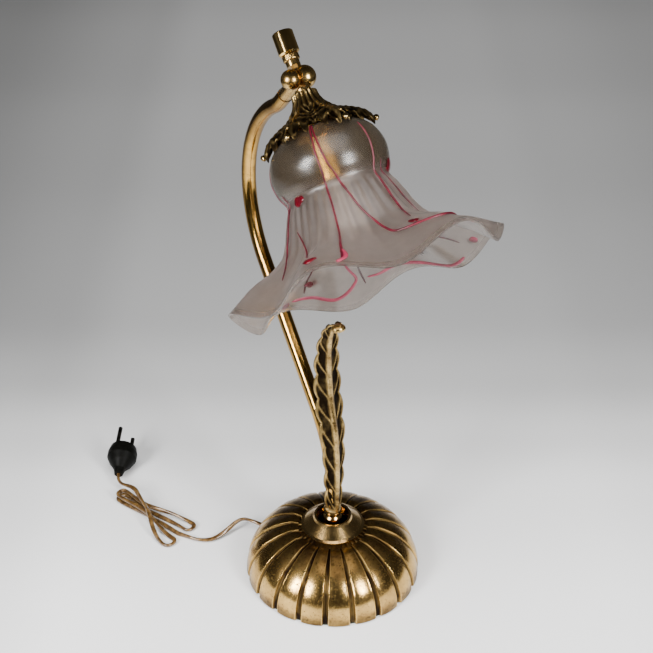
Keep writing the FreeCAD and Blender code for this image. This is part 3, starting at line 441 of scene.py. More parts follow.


# ---- Base --------------------------------------------------------------------
# A heavy cast brass dome of twenty gadroons with narrow dark grooves between them. Brown with
# age, rubbed bright along the edges of the lobes, speckled near the foot, with painted shade over
# its top and a painted highlight across the lower lobes. Felt below.

def old_brass_group():
    """Aged brass: colour, roughness and fine relief from hollows, rubbed edges and spots; painted
    shade and painted highlights come in with the hollows and edges.
    """
    group, given = new_group("old_brass", [
        ("Bright", "Color", (0.8, 0.6, 0.3, 1)), ("Brown", "Color", (0.2, 0.12, 0.05, 1)),
        ("Dark", "Color", (0.03, 0.02, 0.012, 1)), ("Hollow_And_Shade", "Float", 0.0),
        ("Edge", "Float", 0.0), ("Cover", "Float", 0.5), ("Spots", "Float", 0.5),
        ("Size", "Float", 1.0), ("Rough", "Float", 0.19)],
        [("Color", "Color"), ("Roughness", "Float"), ("Height", "Float")])
    sized = add(group, "ShaderNodeVectorMath", {0: own_place(group), "Scale": given["Size"]},
                operation="SCALE").outputs["Vector"]
    cloud, speck = [
        add(group, "ShaderNodeTexNoise", {"Vector": sized, "Scale": scale, "Detail": detail,
                                          "Roughness": rough}).outputs["Fac"]
        for scale, detail, rough in ((55.0, 5.0, 0.62), (420.0, 4.0, 0.75))]

    def value(operation, first, second, clamp=False):
        return add(group, "ShaderNodeMath", {0: first, 1: second}, operation=operation,
                   use_clamp=clamp).outputs[0]

    def contrast(source, start, gain):
        return value("MULTIPLY", value("SUBTRACT", source, start), gain, True)

    def broken(mask, texture, least):
        uneven = value("ADD", least, value("MULTIPLY", texture, 0.6))
        return value("MULTIPLY", given[mask], uneven, True)

    cloudy = contrast(cloud, start=0.36, gain=3.4)
    brown = value("MULTIPLY", cloudy, given["Cover"], True)
    spotty = contrast(speck, start=0.53, gain=7.0)
    spots = value("MULTIPLY", spotty, given["Spots"], True)
    hollow_and_shade = broken("Hollow_And_Shade", cloud, least=0.7)
    edge = broken("Edge", speck, least=0.55)
    tone = given["Bright"]
    for share, other in ((brown, "Brown"), (spots, "Dark"), (hollow_and_shade, "Dark"), (edge, "Bright")):
        tone = blended(group, share, tone, given[other])
    rough = given["Rough"]
    for share, amount in ((cloudy, 0.09), (hollow_and_shade, 0.30), (spots, 0.22)):
        rough = value("ADD", rough, value("MULTIPLY", share, amount))
    height = value("ADD", value("MULTIPLY", speck, 0.5), value("MULTIPLY", cloud, 0.5))
    add(group, "NodeGroupOutput", {"Color": tone, "Roughness": rough, "Height": height})
    return group


old_brass = old_brass_group()


def brass_finish(name, bright, brown, dark, cover, spots, size, relief, masked=False, rough=0.19):
    """A brass material; masked ones read the piece's own masks for its hollows and rubbed edges,
    which on the base also carry painted shade and a painted highlight.
    """
    finish, tree, shader = new_finish(name)
    aged = add(tree, "ShaderNodeGroup", {
        "Bright": (*bright, 1), "Brown": (*brown, 1), "Dark": (*dark, 1), "Cover": cover,
        "Spots": spots, "Size": size, "Rough": rough}, node_tree=old_brass, name="aged")
    if masked:
        feed(tree, aged, {key: read_mask(tree, key.lower()) for key in ("Hollow_And_Shade", "Edge")})
    feed(tree, shader, {"Metallic": 1.0, "Base Color": aged.outputs["Color"],
                        "Roughness": aged.outputs["Roughness"],
                        "Normal": emboss(tree, aged.outputs["Height"], relief, distance=0.0004)})
    return finish


base_brass = brass_finish("base_brass", (0.66, 0.42, 0.130), (0.185, 0.098, 0.032),
                          (0.012, 0.006, 0.003),
                          cover=0.90, spots=0.80, size=1.0, relief=0.25, masked=True, rough=0.15)

lobes = 20
dome_radius = 0.075
dome_foot = 0.0016
dome_top = 0.0476
dome_rise = 0.050
dome_fullness = 2.3
dome_rows = 44
lobe_turn = math.radians(1)
lobe_drop = 0.0011
# groove between two lobes and rubbed rim beside it: place and width as shares of half a lobe
groove_from, groove_run, groove_deep = 0.775, 0.080, 0.0019
rim_at, rim_run, rim_high = 0.750, 0.030, 0.00022
# the lobes stop short of the collar and leave a rough dark trench round it
trench_from, trench_reach, trench_drop = 0.90, 0.0300, 0.0006
shell_wall = 0.0046
shell_roof = 0.003
bore_radius = 0.005


def onset(share, start, run):
    """0 up to start, then a soft step to 1 that takes run."""
    return ease((share - start) / run)


def dome_reach(height, radius, rise):
    """How far the dome reaches from its axis at a height."""
    lift = min((height - dome_foot) / rise, 1)
    return radius * (1 - lift ** dome_fullness) ** (1 / dome_fullness)


def lobe_profile(across):
    """Drop, darkness and rubbed edge across a lobe: 0 at its middle, 1 in the groove."""
    groove = onset(across, groove_from, groove_run)
    rim = math.exp(-((across - rim_at) / rim_run) ** 2)
    return lobe_drop * across ** 2.4 + groove_deep * groove - rim_high * rim, groove, rim


def base_dome():
    """The dome of lobes with its masks, down into the bore and along the hollow inside."""
    half_steps = [0, 0.2, 0.38, 0.54, 0.64, 0.70, 0.735, 0.76, 0.79, 0.815, 0.845, 0.92]
    crossing = [-step for step in reversed(half_steps[1:])] + half_steps + [1.0]
    rings, hollow_and_shade, edge = [], [], []
    for row in range(dome_rows + 1):
        share = row / dome_rows
        height = dome_foot + (dome_top - dome_foot) * math.sin(share * math.pi / 2) ** 1.1
        reach = dome_reach(height, dome_radius, dome_rise) if row < dome_rows else trench_reach
        inner = max(0.0, (share - trench_from) / (1 - trench_from))
        fade = 1 - 0.45 * share
        # painted shade darker towards the top, darker in the trench and at the foot, with a painted
        # highlight across the lobes between
        dark = max(onset(share, 0.42, 0.40) * 0.66, onset(share, 0.93, 0.07) * 0.8,
                   0.62 * (1 - onset(share, 0.04, 0.14)))
        painted_highlight = 0.65 * onset(share, 0.10, 0.12) * (1 - onset(share, 0.26, 0.26))
        ring, dark_row, edge_and_highlight_row = [], [], []
        for lobe in range(lobes):
            for across in crossing:
                drop, groove, rim = lobe_profile(abs(across))
                angle = lobe_turn + 2 * math.pi * (lobe + 0.5 + across / 2) / lobes
                out = reach - drop * fade
                low = height - drop * fade * share - trench_drop * inner
                ring.append((out * math.cos(angle), out * math.sin(angle), low))
                # the hollow mask carries the painted shade with the grooves, the edge mask the
                # painted highlight
                dark_row.append(max(groove, dark))
                edge_and_highlight_row.append(max(rim * (1 - 0.6 * share), painted_highlight * (1 - across ** 2)))
        rings.append(ring)
        hollow_and_shade.append(dark_row)
        edge.append(edge_and_highlight_row)
    angles = np.array([math.atan2(point[1], point[0]) for point in rings[0]])
    # the ragged floor of the trench, the bore and the hollow inside
    flat = [(0.0292, dome_top - 0.0012), (0.0268, dome_top - 0.0004),
            (bore_radius, dome_top - 0.0002), (bore_radius, dome_top - shell_roof),
            (0.0277, dome_top - shell_roof)]
    for share in (0.88, 0.75, 0.6, 0.4, 0.2, 0):
        height = dome_foot + (dome_top - shell_roof - dome_foot) * share
        flat.append((dome_reach(height, dome_radius - shell_wall, dome_rise - shell_wall), height))
    for reach, height in flat:
        ragged = 0 * angles
        if height > dome_top - 0.002 and reach > 0.02:
            ragged = 0.0004 * np.sin(angles * 40 + 1.3)
        rings.append(np.stack([reach * np.cos(angles), reach * np.sin(angles),
                               height + ragged - abs(ragged)], 1))
        hollow_and_shade.append(np.full(len(angles), 0.85))
        edge.append(np.full(len(angles), 0.0))
    return ringed("base_dome", rings, "stand", base_brass, closed=True, crease=60,
                  masks={"hollow_and_shade": hollow_and_shade, "edge": edge})


dome = base_dome()
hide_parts("base_shell")

felt_green = grained("felt_green", (900.0, 6.0, 0.8),
                     [(0.3, (0.018, 0.035, 0.02)), (0.7, (0.05, 0.085, 0.05))],
                     relief=(0.5, 0.0003), plain={"Roughness": 0.95, "Sheen Weight": 0.4})
dress(felt_green, "base_felt")
rough_iron = grained("rough_iron", (300.0, 6.0, 0.7),
                     [(0.3, (0.03, 0.028, 0.027)), (0.7, (0.09, 0.082, 0.075))],
                     relief=(0.6, 0.0006), plain={"Metallic": 0.7, "Roughness": 0.7})
dress(rough_iron, "base_weight")


# ---- Collar, nuts and nipples ------------------------------------------------
# The collar is a spun brass cone with a bead at its edge, polished outside, with painted shade in
# its mouth round the arm. Steel washers and nuts hold the arm and the holder from inside.

collar_brass = brass_finish("collar_brass", (0.80, 0.55, 0.22), (0.24, 0.130, 0.042),
                            (0.014, 0.008, 0.004),
                            cover=0.75, spots=0.45, size=1.0, relief=0.08, rough=0.14)
# painted shade in the collar's mouth: none 15 mm from the axis, full at 13.8 mm
mouth_shade_start, mouth_shade_full = 0.0150, 0.0138
tree = collar_brass.node_tree
flat_place = add(tree, "ShaderNodeVectorMath", {0: own_place(tree), 1: (1, 1, 0)},
                 operation="MULTIPLY").outputs["Vector"]
from_axis = add(tree, "ShaderNodeVectorMath", {0: flat_place}, operation="LENGTH").outputs["Value"]
feed(tree, tree.nodes["aged"], {"Hollow_And_Shade": stretched(tree, from_axis, mouth_shade_start, mouth_shade_full)})
dress(collar_brass, "base_collar")

turned_brass = brass_finish("turned_brass", (0.80, 0.55, 0.21), (0.40, 0.23, 0.075),
                            (0.04, 0.022, 0.009),
                            cover=0.5, spots=0.2, size=1.2, relief=0.06, rough=0.12)
dress(turned_brass, "base_nipple", "head_nipple", "hinge_washers", "hinge_screw", "shade_ring")
zinc_steel = grained("zinc_steel", (200.0, 4.0),
                     [(0.3, (0.42, 0.42, 0.41)), (0.7, (0.62, 0.62, 0.60))],
                     [(0.2, 0.30), (0.8, 0.45)], plain={"Metallic": 1.0})
dress(zinc_steel, "base_washer", "base_nut", "cap_nut")
flex_cream = grained("flex_cream", (350.0, 3.0),
                     [(0.3, (0.55, 0.50, 0.40)), (0.7, (0.66, 0.61, 0.50))],
                     [(0.2, 0.35), (0.8, 0.5)])
dress(flex_cream, "inner_flex", "head_flex")


# ---- Arm and stem ring -------------------------------------------------------
# Brass tube, drawn and bent, with a long brown tarnish along it. A turned double bead slips over
# its foot.

arm_brass = brass_finish("arm_brass", (0.58, 0.345, 0.085), (0.25, 0.125, 0.030),
                         (0.03, 0.013, 0.004),
                         cover=0.85, spots=0.30, size=0.6, relief=0.07, rough=0.12)
dress(arm_brass, "arm_tube")
dress(turned_brass, "stem_ring")


# ---- Leaf on the stem --------------------------------------------------------
# Cast acanthus leaf, some ten pairs of leaflets with raised rims and dark hollows either side
# of a plain rounded rib, its tip rolled forward. It hugs the foot of the arm.

leaf_brass = brass_finish("leaf_brass", (0.54, 0.37, 0.135), (0.13, 0.072, 0.024),
                          (0.010, 0.006, 0.003),
                          cover=0.95, spots=0.90, size=1.4, relief=0.7, masked=True)
leaf_foot, leaf_tip, leaf_end = 0.067, 0.256, 0.945
leaflets = 11
leaflet_lean = 1.25
leaflet_deep = 0.0026
leaf_rib = 0.15
leaf_thick = 0.0014
leaf_rows, leaf_across = 260, 37
# from the foot up: forward in mm, share of the height, half width and wrap in mm
leaf_stations = [(6.3, 0.0, 7.4, 7.0), (7.0, 0.12, 8.6, 7.0), (7.0, 0.26, 9.6, 6.5),
                 (4.0, 0.42, 11.0, 6.0), (-2.5, 0.56, 12.0, 5.5), (-6.5, 0.70, 11.5, 5.0),
                 (-7.0, 0.83, 10.0, 4.0), (-3.5, 0.93, 7.5, 3.0), (3.0, 0.985, 5.0, 2.0),
                 (9.5, 1.0, 2.6, 1.2)]


def through(points, share):
    """Smooth values between evenly spaced rows of numbers."""
    spans = len(points) - 1
    place = min(share * spans, spans - 1e-9)
    index = int(place)
    rest = place - index
    before, after = points[max(index - 1, 0)], points[min(index + 2, spans)]
    four = [before, points[index], points[index + 1], after]
    return [0.5 * (2 * b + (c - a) * rest + (2 * a - 5 * b + 4 * c - d) * rest ** 2
                   + (3 * b - a - 3 * c + d) * rest ** 3) for a, b, c, d in zip(*four)]


def leaf_line(share):
    """The leaf's middle, front, half width and wrap at a share of its length."""
    ahead, up, half, wrap = through(leaf_stations, share)
    later = through(leaf_stations, min(share + 0.01, 1))
    sooner = through(leaf_stations, max(share - 0.01, 0))
    rise = leaf_tip - leaf_foot
    way = Vector((0, -(later[0] - sooner[0]) / 1000, (later[1] - sooner[1]) * rise)).normalized()
    front = Vector((0, -way.z, way.y))
    middle = Vector((0, -ahead / 1000, leaf_foot + up * rise)) + front * 0.0016
    return middle, front, half / 1000, wrap / 1000


def cast_leaf():
    """The leaf's carved front and plain back, with its masks."""
    rings, hollow_and_shade, edge = [], [], []
    for row in range(leaf_rows + 1):
        share = leaf_end * row / leaf_rows
        middle, front, half, wrap = leaf_line(share)
        faded = min(1, share / 0.05, (leaf_end - share) / 0.10 + 0.1)
        outer = share * leaflets - leaflet_lean
        tooth = math.sin(math.pi * (outer - math.floor(outer))) ** 0.8 - 0.72
        scallop = 1 + 0.26 * tooth * faded
        fore, dark_row, edge_and_highlight_row = [], [], []
        for across in np.linspace(-1, 1, leaf_across):
            far = abs(across)
            phase = share * leaflets - leaflet_lean * far ** 1.25
            part = phase - math.floor(phase)
            crease = math.exp(-((part - 0.5) / 0.08) ** 2)
            body_dip = math.sin(math.pi * part) ** 0.5 - 0.12 * crease
            band = onset(far, leaf_rib, 0.16) * (1 - 0.80 * onset(far, 0.70, 0.26))
            dip = body_dip * band * faded
            ridge = math.exp(-(far / leaf_rib) ** 2)
            lift = -leaflet_deep * dip + leaflet_deep * 0.5 * ridge
            lift += leaflet_deep * 0.35 * onset(far, 0.75, 0.25) * faded
            fore.append(middle + Vector((half * across * scallop, 0, 0))
                        + front * (lift - wrap * far ** 2))
            dark_row.append(min(1.0, dip * 1.7))
            edge_and_highlight_row.append(max(0.0, 1 - dip * 2.4) * onset(far, leaf_rib * 1.2, 0.1) * 0.50)
        back = [point - front * leaf_thick for point in reversed(fore)]
        rings.append([tuple(point) for point in fore + back])
        hollow_and_shade.append(dark_row + [0.7] * len(back))
        edge.append(edge_and_highlight_row + [0.0] * len(back))
    return ringed("stem_leaf", rings, "stand", leaf_brass, capped=True, crease=75,
                  masks={"hollow_and_shade": hollow_and_shade, "edge": edge})


def bud(name, body, finish, point, rows, around, start, hollow_and_shade=None, edge=None):
    """A small closed lump: point(lean, way) runs from pole to pole and round it."""
    leans = [math.pi * (row + start) / (rows - 1 + 2 * start) for row in range(rows)]
    rings = [[tuple(point(lean, 2 * math.pi * step / around)) for step in range(around)]
             for lean in leans]
    masks = {mask: [[value(lean)] * around for lean in leans]
             for mask, value in (("hollow_and_shade", hollow_and_shade), ("edge", edge)) if value}
    return ringed(name, rings, body, finish, capped=True, masks=masks)


def scroll_point(lean, way):
    """The rolled end of the leaf, a smooth swelling bud that leans forward."""
    swell = 1 + 0.07 * math.cos(2 * way - 1.2 * lean)
    round_it = math.sin(lean) ** 0.8
    return Vector((0, -0.0078, leaf_tip - 0.0030)) + Vector((
        0.0056 * math.cos(lean), -0.0052 * round_it * math.cos(way) * swell,
        0.0034 * round_it * math.sin(way) * swell))


stem_leaf = cast_leaf()
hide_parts("leaf_stem")
leaf_scroll = bud("leaf_scroll", "stand", leaf_brass, scroll_point, rows=25, around=36, start=0.3,
                  hollow_and_shade=lambda lean: 0.25 * abs(math.cos(lean)) ** 3,
                  edge=lambda lean: 0.9 * math.sin(lean))


# ---- Hinge and knob ----------------------------------------------------------
# A brass ball split in two halves on a screw, one half on the arm's ferrule, the other with a
# short stem. A knurled ring and a plain round knob on the stem clamp the hinge.

hinge_brass = brass_finish("hinge_brass", (0.74, 0.50, 0.18), (0.28, 0.150, 0.045),
                           (0.030, 0.014, 0.005),
                           cover=0.75, spots=0.50, size=1.4, relief=0.14)
knob_brass = brass_finish("knob_brass", (0.84, 0.58, 0.22), (0.48, 0.28, 0.09),
                          (0.06, 0.03, 0.012),
                          cover=0.40, spots=0.12, size=1.2, relief=0.03, rough=0.07)
dress(hinge_brass, "head_yoke", "arm_knuckle")
dress(knob_brass, "tilt_knob")

# the head's own frame: Z up its stem, X along the hinge
head_place = Matrix.Translation((0, 0.0517, 0.4369)) @ Matrix.Rotation(math.radians(-42), 4, "X")
ring_low, ring_high, ring_reach, ring_bore = 0.0135, 0.0185, 0.0064, 0.00305
ring_rows, ring_around = 14, 96
knurl_deep, knurls, knurl_slant = 0.00035, 12, 5.5


def knurled_ring():
    """The ring with crossed cuts and chamfered ends, and its bore."""
    turns = [2 * math.pi * step / ring_around for step in range(ring_around)]
    rings = []
    for row in range(ring_rows + 1):
        share = row / ring_rows
        height = ring_low + (ring_high - ring_low) * share
        chamfer = 0.0007 * (1 - min(1, share / 0.12, (1 - share) / 0.12))
        ring = []
        for turn in turns:
            slant = knurl_slant * share
            cut = abs(math.sin(knurls * turn + slant)) * abs(math.sin(knurls * turn - slant))
            reach = ring_reach - chamfer - knurl_deep * (1 - cut)
            ring.append((reach * math.cos(turn), reach * math.sin(turn), height))
        rings.append(ring)
    for height in (ring_high, ring_low):
        rings.append([(ring_bore * math.cos(turn), ring_bore * math.sin(turn), height)
                      for turn in turns])
    rings = [[tuple(head_place @ Vector(point)) for point in ring] for ring in rings]
    return ringed("knurled_ring", rings, "head", hinge_brass, closed=True, crease=50)


collar_ring = knurled_ring()
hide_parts("knob_collar")


# ---- Leaf cap ----------------------------------------------------------------
# Cast crown of six acanthus leaves that spread from a fluted neck and droop over the shoulder
# of the glass, each ending in a curled tip with a small ball. Dark in the hollows.

cap_brass = brass_finish("cap_brass", (0.58, 0.40, 0.155), (0.19, 0.115, 0.040),
                         (0.012, 0.007, 0.003),
                         cover=0.85, spots=0.85, size=2.0, relief=0.9, masked=True, rough=0.17)
cap_turn = math.radians(3)
cap_leaf_count = 6
cap_neck_reach = 9.4
cap_neck_top = 11.5
cap_thick = 1.8
cap_flutes = 18
cap_leaflets = 6.5
cap_lean = 1.7
cap_rib = 0.10
# relief in mm: flutes on the neck, blade, hollows between leaflets, middle rib, veins
flute_high, blade_high, hollow_deep, rib_high, vein_high = 0.55, 0.55, 1.9, 0.7, 0.22
cap_curl = 1.6
cap_rows, cap_leaf_steps = 120, 84
bead_share, bead_out, bead_size = 0.985, 0.4, 2.3
# reach and depth along a leaf's middle and along the notch beside it
cap_middle = [(0, 0), (0.6, 5), (3.5, 11), (9.5, 17.5), (18, 21.5), (27, 27), (34, 36)]
cap_notch = [(-0.8, 0), (-0.4, 5), (2, 11), (6, 17.5), (11, 21), (15, 23.5), (18.5, 26)]


def cap_relief(share, across, angle):
    """Height of the casting's relief in mm, with how hollow and how rubbed it is."""
    far = abs(across)
    neck = 1 - onset(share, 0.28, 0.16)
    flute = math.cos(cap_flutes * (angle - cap_turn))
    ridge = math.exp(-(far / cap_rib) ** 2) * onset(share, 0.25, 0.1)
    phase = share * cap_leaflets - cap_lean * far ** 1.2
    part = phase - math.floor(phase)
    dip = math.sin(math.pi * part) ** 0.8 * onset(far, cap_rib, 0.12) * (1 - neck)
    vein = math.sin(2 * math.pi * (part * 2 + far * 3)) * vein_high * (1 - neck)
    blade = blade_high - hollow_deep * dip + rib_high * ridge + vein
    lift = neck * flute_high * flute + (1 - neck) * blade
    dark = min(1.0, neck * max(0.0, -flute) + dip * 1.1 + 0.25)
    rubbed = neck * max(0.0, flute - 0.45) + (1 - neck) * max(0.0, 1 - 2.6 * dip) * 0.6
    return lift * ease(share / 0.06 + 0.2), dark, rubbed


def cap_surface(share, angle, inset):
    """A point of the crown of leaves in the lamp's frame, and its two masks."""
    turn = (angle - cap_turn) * cap_leaf_count / (2 * math.pi)
    across = 2 * (turn - math.floor(turn + 0.5))
    leaf = (0.5 + 0.5 * math.cos(math.pi * across)) ** 0.6
    lobe = (0.5 - 0.5 * math.cos(2 * math.pi * (2.5 * abs(across) + 0.5))) ** 1.5
    run = share * (1 - 0.13 * lobe * onset(share, 0.5, 0.5))
    outer = through(cap_middle, run)
    inner = through(cap_notch, run)
    reach = cap_neck_reach + inner[0] + (outer[0] - inner[0]) * leaf
    depth = cap_neck_top + inner[1] + (outer[1] - inner[1]) * leaf
    relief, dark, rubbed = cap_relief(run, across, angle)
    curl = cap_curl * onset(run, 0.80, 0.2) * math.cos(2 * math.pi * 2.5 * across)
    tilt = ease(run / 0.75)
    lift = relief + curl - inset
    reach += lift * (1 - 0.75 * tilt)
    depth -= lift * 0.9 * tilt
    spot = Vector((reach * math.sin(angle), -reach * math.cos(angle), -depth)) / 1000
    return tuple(head_place @ spot), dark, rubbed


def cap_crown():
    """The whole crown, its carved outside and its plain inside."""
    around = cap_leaf_count * cap_leaf_steps
    rings, hollow_and_shade, edge = [], [], []
    for inset in (0, cap_thick):
        for row in range(cap_rows + 1) if inset == 0 else range(cap_rows, -1, -4):
            share = row / cap_rows
            made = [cap_surface(share, 2 * math.pi * step / around, inset * (0.4 + 0.6 * share))
                    for step in range(around)]
            rings.append([spot for spot, dark, rubbed in made])
            hollow_and_shade.append([0.9 if inset else dark for spot, dark, rubbed in made])
            edge.append([0.0 if inset else rubbed for spot, dark, rubbed in made])
    return ringed("cap_crown", rings, "head", cap_brass, closed=True, crease=80,
                  masks={"hollow_and_shade": hollow_and_shade, "edge": edge})


def cap_bead(number):
    """The curled ball at a leaf's tip."""
    angle = cap_turn + math.radians(60 * number)
    reach, depth = through(cap_middle, bead_share)
    reach += cap_neck_reach + bead_out
    depth += cap_neck_top
    middle = Vector((reach * math.sin(angle), -reach * math.cos(angle), -depth)) / 1000

    def point(lean, way):
        curl = bead_size * (1 + 0.10 * math.cos(2 * way + 1.7 * lean)) / 1000
        return head_place @ (middle + curl * Vector((
            math.sin(lean) * math.cos(way), math.sin(lean) * math.sin(way), math.cos(lean))))

    return bud("cap_bead_%d" % (number + 1), "head", cap_brass, point, rows=15, around=28,
               start=0.3, hollow_and_shade=lambda lean: 0.35 * (1 - math.sin(lean)),
               edge=lambda lean: 0.7 * math.sin(lean) ** 3)


crown = cap_crown()
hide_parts("leaf_cap")
for piece in [crown] + [cap_bead(number) for number in range(cap_leaf_count)]:
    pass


# ---- Lampholder and bulb -----------------------------------------------------
# Brass lampholder with a porcelain core, screwed to the nipple, that clamps the shade. A small
# pearl bulb stands in it.

holder_brass = brass_finish("holder_brass", (0.96, 0.68, 0.20), (0.74, 0.46, 0.12),
                            (0.10, 0.06, 0.03),
                            cover=0.35, spots=0.15, size=1.0, relief=0.04)
dress(holder_brass, "lampholder_cap", "lampholder_shell", "bulb_cap")
porcelain = grained("porcelain", (120.0, 3.0),
                    [(0.3, (0.78, 0.76, 0.71)), (0.7, (0.86, 0.85, 0.80))],
                    [(0.2, 0.15), (0.8, 0.3)])
dress(porcelain, "lampholder_core")
bulb_pearl = grained("bulb_pearl", (400.0, 4.0),
                     [(0.2, (0.86, 0.86, 0.84)), (0.8, (0.93, 0.93, 0.91))],
                     [(0.2, 0.45), (0.8, 0.6)], plain={"Transmission Weight": 0.6})
dress(bulb_pearl, "bulb_glass")


# ---- Tulip shade -------------------------------------------------------------
# Blown glass bell, frosted outside, with optic ribs down its skirt and a rim pulled into six
# petals, and painted shade that makes its dome darker than the skirt. Red glass threads are
# trailed over it and end in drops.

shade_top = 40.5
shade_thick = 2.2
petals = 6
petal_turn = math.radians(15)
petal_out, petal_down = 4.5, 7.5
rib_count = 36
rib_deep = 0.55
shade_rows, shade_around = 110, 432
# reach from the axis and depth in mm, from the holder's ring to the rim
shade_side = [(reach, shade_top + down) for reach, down in (
    (13.6, 0), (25, 0.6), (35, 6), (41.5, 14), (44.8, 26), (43.2, 38), (39.2, 47.5), (42, 55),
    (45.6, 64), (49.2, 74), (54.5, 84), (65, 92), (81, 100), (101.5, 115))]


def shade_rib(share, angle):
    """The optic ribs: 1 on a rib, -1 between two, fading in at the waist and out to the rim."""
    shown = onset(share, 0.46, 0.06) * (1 - onset(share, 0.76, 0.22))
    return math.cos(rib_count * angle) * shown


def shade_spot(share, angle, inset):
    """A point of the glass in the lamp's frame; inset in millimetres is measured into the wall."""
    here = through(shade_side, share)
    later = through(shade_side, min(share + 0.004, 1))
    sooner = through(shade_side, max(share - 0.004, 0))
    slope = math.hypot(later[0] - sooner[0], later[1] - sooner[1])
    inward = (-(later[1] - sooner[1]) / slope, (later[0] - sooner[0]) / slope)
    skirt = max(0, (share - 0.5) / 0.5)
    wave = math.cos(petals * (angle - petal_turn))
    reach = here[0] + inward[0] * inset + wave * petal_out * skirt ** 1.2
    depth = here[1] + inward[1] * inset - wave * petal_down * skirt ** 2.5
    return head_place @ (Vector((reach * math.sin(angle), -reach * math.cos(angle), -depth)) / 1000)


def shade_grid(outer):
    """Rings of the glass, outside or inside, from the holder to the rim."""
    grid = []
    for row in range(shade_rows + 1):
        share = row / shade_rows
        ring = []
        for step in range(shade_around):
            angle = 2 * math.pi * step / shade_around
            inset = rib_deep - rib_deep * shade_rib(share, angle) if outer else shade_thick - 0.1
            ring.append(tuple(shade_spot(share, angle, inset)))
        grid.append(ring)
    return grid


# painted shade: the dome's colour, darker than the skirt
dome_shade_tone = (0.36, 0.30, 0.225, 1)
frosted_glass, tree, shader = new_finish("frosted_glass")
seeds = mottled(tree, 140.0, 5.0, 0.6)
skirt_tone = ramp(tree, seeds, [(0.25, (0.52, 0.44, 0.400)), (0.75, (0.66, 0.57, 0.525))])
feed(tree, shader, {
    "Base Color": blended(tree, read_mask(tree, "dome"), skirt_tone, dome_shade_tone),
    "Roughness": ramp(tree, read_mask(tree, "frost"), [(0, 0.05), (1, 0.52)]),
    "Normal": emboss(tree, seeds, strength=0.12, distance=0.0006),
    "Transmission Weight": 0.97, "IOR": 1.4})

inside_frost = 0.35
# the frost mask sets roughness; the dome mask places the painted shade, full on the dome and fading
# out at the waist, with at least half of it on the inside
frost, dome_shade = [], []
for row in range(shade_rows + 1):
    share = row / shade_rows
    satin = 0.45 + 0.45 * onset(share, 0.44, 0.06) - 0.45 * onset(share, 0.955, 0.03)
    frost.append([satin + 0.14 * shade_rib(share, 2 * math.pi * step / shade_around)
                  for step in range(shade_around)])
    dome_shade.append(1 - onset(share, 0.38, 0.08))
frost += [[inside_frost] * shade_around] * len(frost)
dome_shade += [max(0.5, value) for value in reversed(dome_shade)]
tulip_shade = ringed("tulip_shade", shade_grid(True) + list(reversed(shade_grid(False))), "head",
                     frosted_glass, closed=True, crease=70,
                     masks={"frost": frost, "dome": [[value] * shade_around for value in dome_shade]})
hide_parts("glass_shade")


# ---- Red threads and drops ---------------------------------------------------
# Trails of ruby glass laid on the hot shade: thin threads from the cap down the skirt, some
# spreading into a pink blot at the rim, and round dark drops at the waist and near the rim.

def ruby_finish(name, deep, pale, rough, clear):
    """Red glass with streaks from deep to pale."""
    return grained(name, (160.0, 3.0), [(0.3, deep), (0.72, pale)],
                   [(0, rough), (1, rough + 0.15)], plain={"Transmission Weight": clear})


ruby = ruby_finish("ruby_glass", (0.05, 0.001, 0.006), (0.14, 0.003, 0.017), 0.34, 0.20)
rose = ruby_finish("rose_glass", (0.26, 0.014, 0.045), (0.44, 0.060, 0.110), 0.40, 0.35)
garnet = ruby_finish("garnet_glass", (0.035, 0.001, 0.004), (0.110, 0.003, 0.009), 0.12, 0.10)


thread_sides = 12
thread_spread, thread_high = 0.00082, 0.0009
drop_high = 1.1


def thread(name, stops, wide, finish, inset=0.2):
    """A trailed thread: stops are (degrees, share) on the glass; wide lists half widths in mm."""
    count = 12 * (len(stops) - 1)
    spots = []
    for step in range(count + 1):
        turn, share = through(stops, step / count)
        spots.append([shade_spot(share, math.radians(turn), depth)
                      for depth in (inset, inset - 1)])
    rings = []
    for step, (spot, above) in enumerate(spots):
        way = (spots[min(step + 1, count)][0] - spots[max(step - 1, 0)][0]).normalized()
        up = (above - spot).normalized()
        side = way.cross(up).normalized()
        half = through([(value,) for value in wide], step / count)[0] * thread_spread
        taper = math.sqrt(max(0.02, 1 - abs(2 * step / count - 1) ** 14))
        ring = []
        for turn in range(thread_sides):
            angle = 2 * math.pi * turn / thread_sides
            ring.append(tuple(spot + (side * math.cos(angle) * half
                                      + up * math.sin(angle) * min(half, thread_high)) * taper))
        rings.append(ring)
    ringed(name, rings, "head", finish, capped=True)


def drop(name, turn, share, long, wide, finish):
    """A flattened drop of glass; long runs down the glass and wide round it, in mm."""
    angle = math.radians(turn)
    spot = shade_spot(share, angle, 0.1)
    up = (shade_spot(share, angle, -0.9) - spot).normalized()
    down = (shade_spot(min(share + 0.01, 1), angle, 0.1) - spot).normalized()
    down = (down - up * down.dot(up)).normalized()
    side = up.cross(down)

    def point(lean, way):
        uneven = 1 + 0.09 * math.cos(3 * way + 1) + 0.05 * math.cos(5 * way)
        return spot + (down * (long / 2 * math.cos(way)) * math.sin(lean) * uneven
                       + side * (wide / 2 * math.sin(way)) * math.sin(lean) * uneven
                       + up * drop_high * math.cos(lean)) / 1000

    piece = bud(name, "head", finish, point, rows=12, around=30, start=0.4)


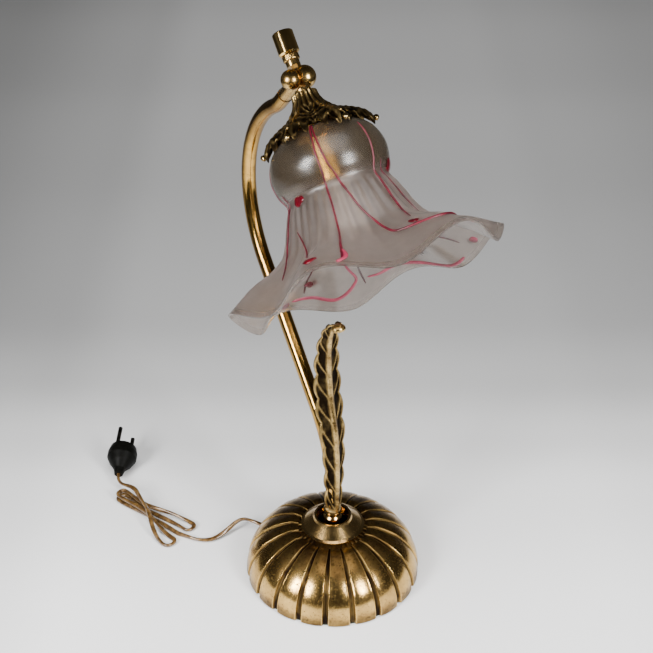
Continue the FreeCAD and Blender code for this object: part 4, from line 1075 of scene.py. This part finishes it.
thread("thread_left", [(-35, 0.10), (-35, 0.241), (-36, 0.312), (-36, 0.38), (-38, 0.475),
                       (-37, 0.587), (-37, 0.674), (-37, 0.754), (-36, 0.861), (-35, 0.94),
                       (-35, 0.972)], (0.8, 0.9, 0.9, 0.8, 1.0, 1.5), ruby)
thread("thread_right", [(-33, 0.10), (-31, 0.249), (-29, 0.348), (-25, 0.424), (-21, 0.531),
                        (-18, 0.61), (-15, 0.67), (-12, 0.718), (-9, 0.762), (-7, 0.833),
                        (-5, 0.889), (3, 0.925), (14, 0.945), (27, 0.935), (40, 0.915),
                        (53, 0.893)], (0.9, 1.0, 0.9, 1.1, 1.2, 0.9), ruby)
thread("thread_edge", [(-98, 0.40), (-98, 0.531), (-97, 0.622), (-96, 0.73), (-87, 0.833),
                       (-80, 0.90)], (0.7, 0.8, 0.8, 0.6), ruby)
thread("thread_branch", [(-81, 0.658), (-74, 0.726), (-64, 0.82), (-53, 0.913)],
       (0.5, 0.8, 0.9), ruby)
thread("thread_drop", [(19, 0.20), (19, 0.408), (19, 0.447), (19, 0.511), (16, 0.642),
                       (14, 0.746), (8, 0.857)], (0.7, 0.8, 0.9, 0.9, 0.7), ruby)
thread("thread_short", [(30, 0.40), (33, 0.61), (37, 0.694), (44, 0.80)], (0.5, 0.7, 0.6), ruby)
for number, turn in enumerate((85, 112, 146, 178, 211, 238)):
    thread("thread_back_%d" % (number + 1), [
        (turn, 0.18), (turn + 2, 0.38), (turn + 5, 0.52), (turn + 7, 0.68), (turn + 12, 0.84),
        (turn + 10, 0.95)], (0.8, 0.9, 0.8, 0.9, 1.3), ruby)
thread("trail_hook", [(-35, 0.94), (-34, 0.965), (-37, 0.985)], (1.8, 2.8, 1.6), rose)
thread("trail_inside", [(167, 0.80), (167, 0.829), (161, 0.90), (163, 0.93), (173, 0.96),
                        (184, 0.956), (194, 0.965)], (1.0, 1.4, 2.2, 1.8), rose, inset=2.0)
thread("trail_right", [(154, 0.93), (147, 0.948), (138, 0.955), (126, 0.975), (114, 0.985),
                       (100, 0.975)], (1.0, 2.2, 2.6, 1.8), rose, inset=2.0)
drop("drop_waist_1", -75, 0.483, 8, 11, garnet)
drop("drop_waist_2", 52, 0.435, 12, 10, garnet)
drop("drop_waist_3", 170, 0.46, 9, 11, garnet)
drop("drop_low_1", -49, 0.950, 5, 11, garnet)
drop("drop_low_2", 4, 0.905, 5, 10, garnet)
drop("drop_low_3", 120, 0.93, 6, 10, garnet)
drop("drop_rim_1", 186, 0.913, 8, 12, rose)
drop("drop_rim_2", 197, 0.975, 7, 11, rose)
drop("drop_rim_3", 91, 0.965, 7, 12, rose)
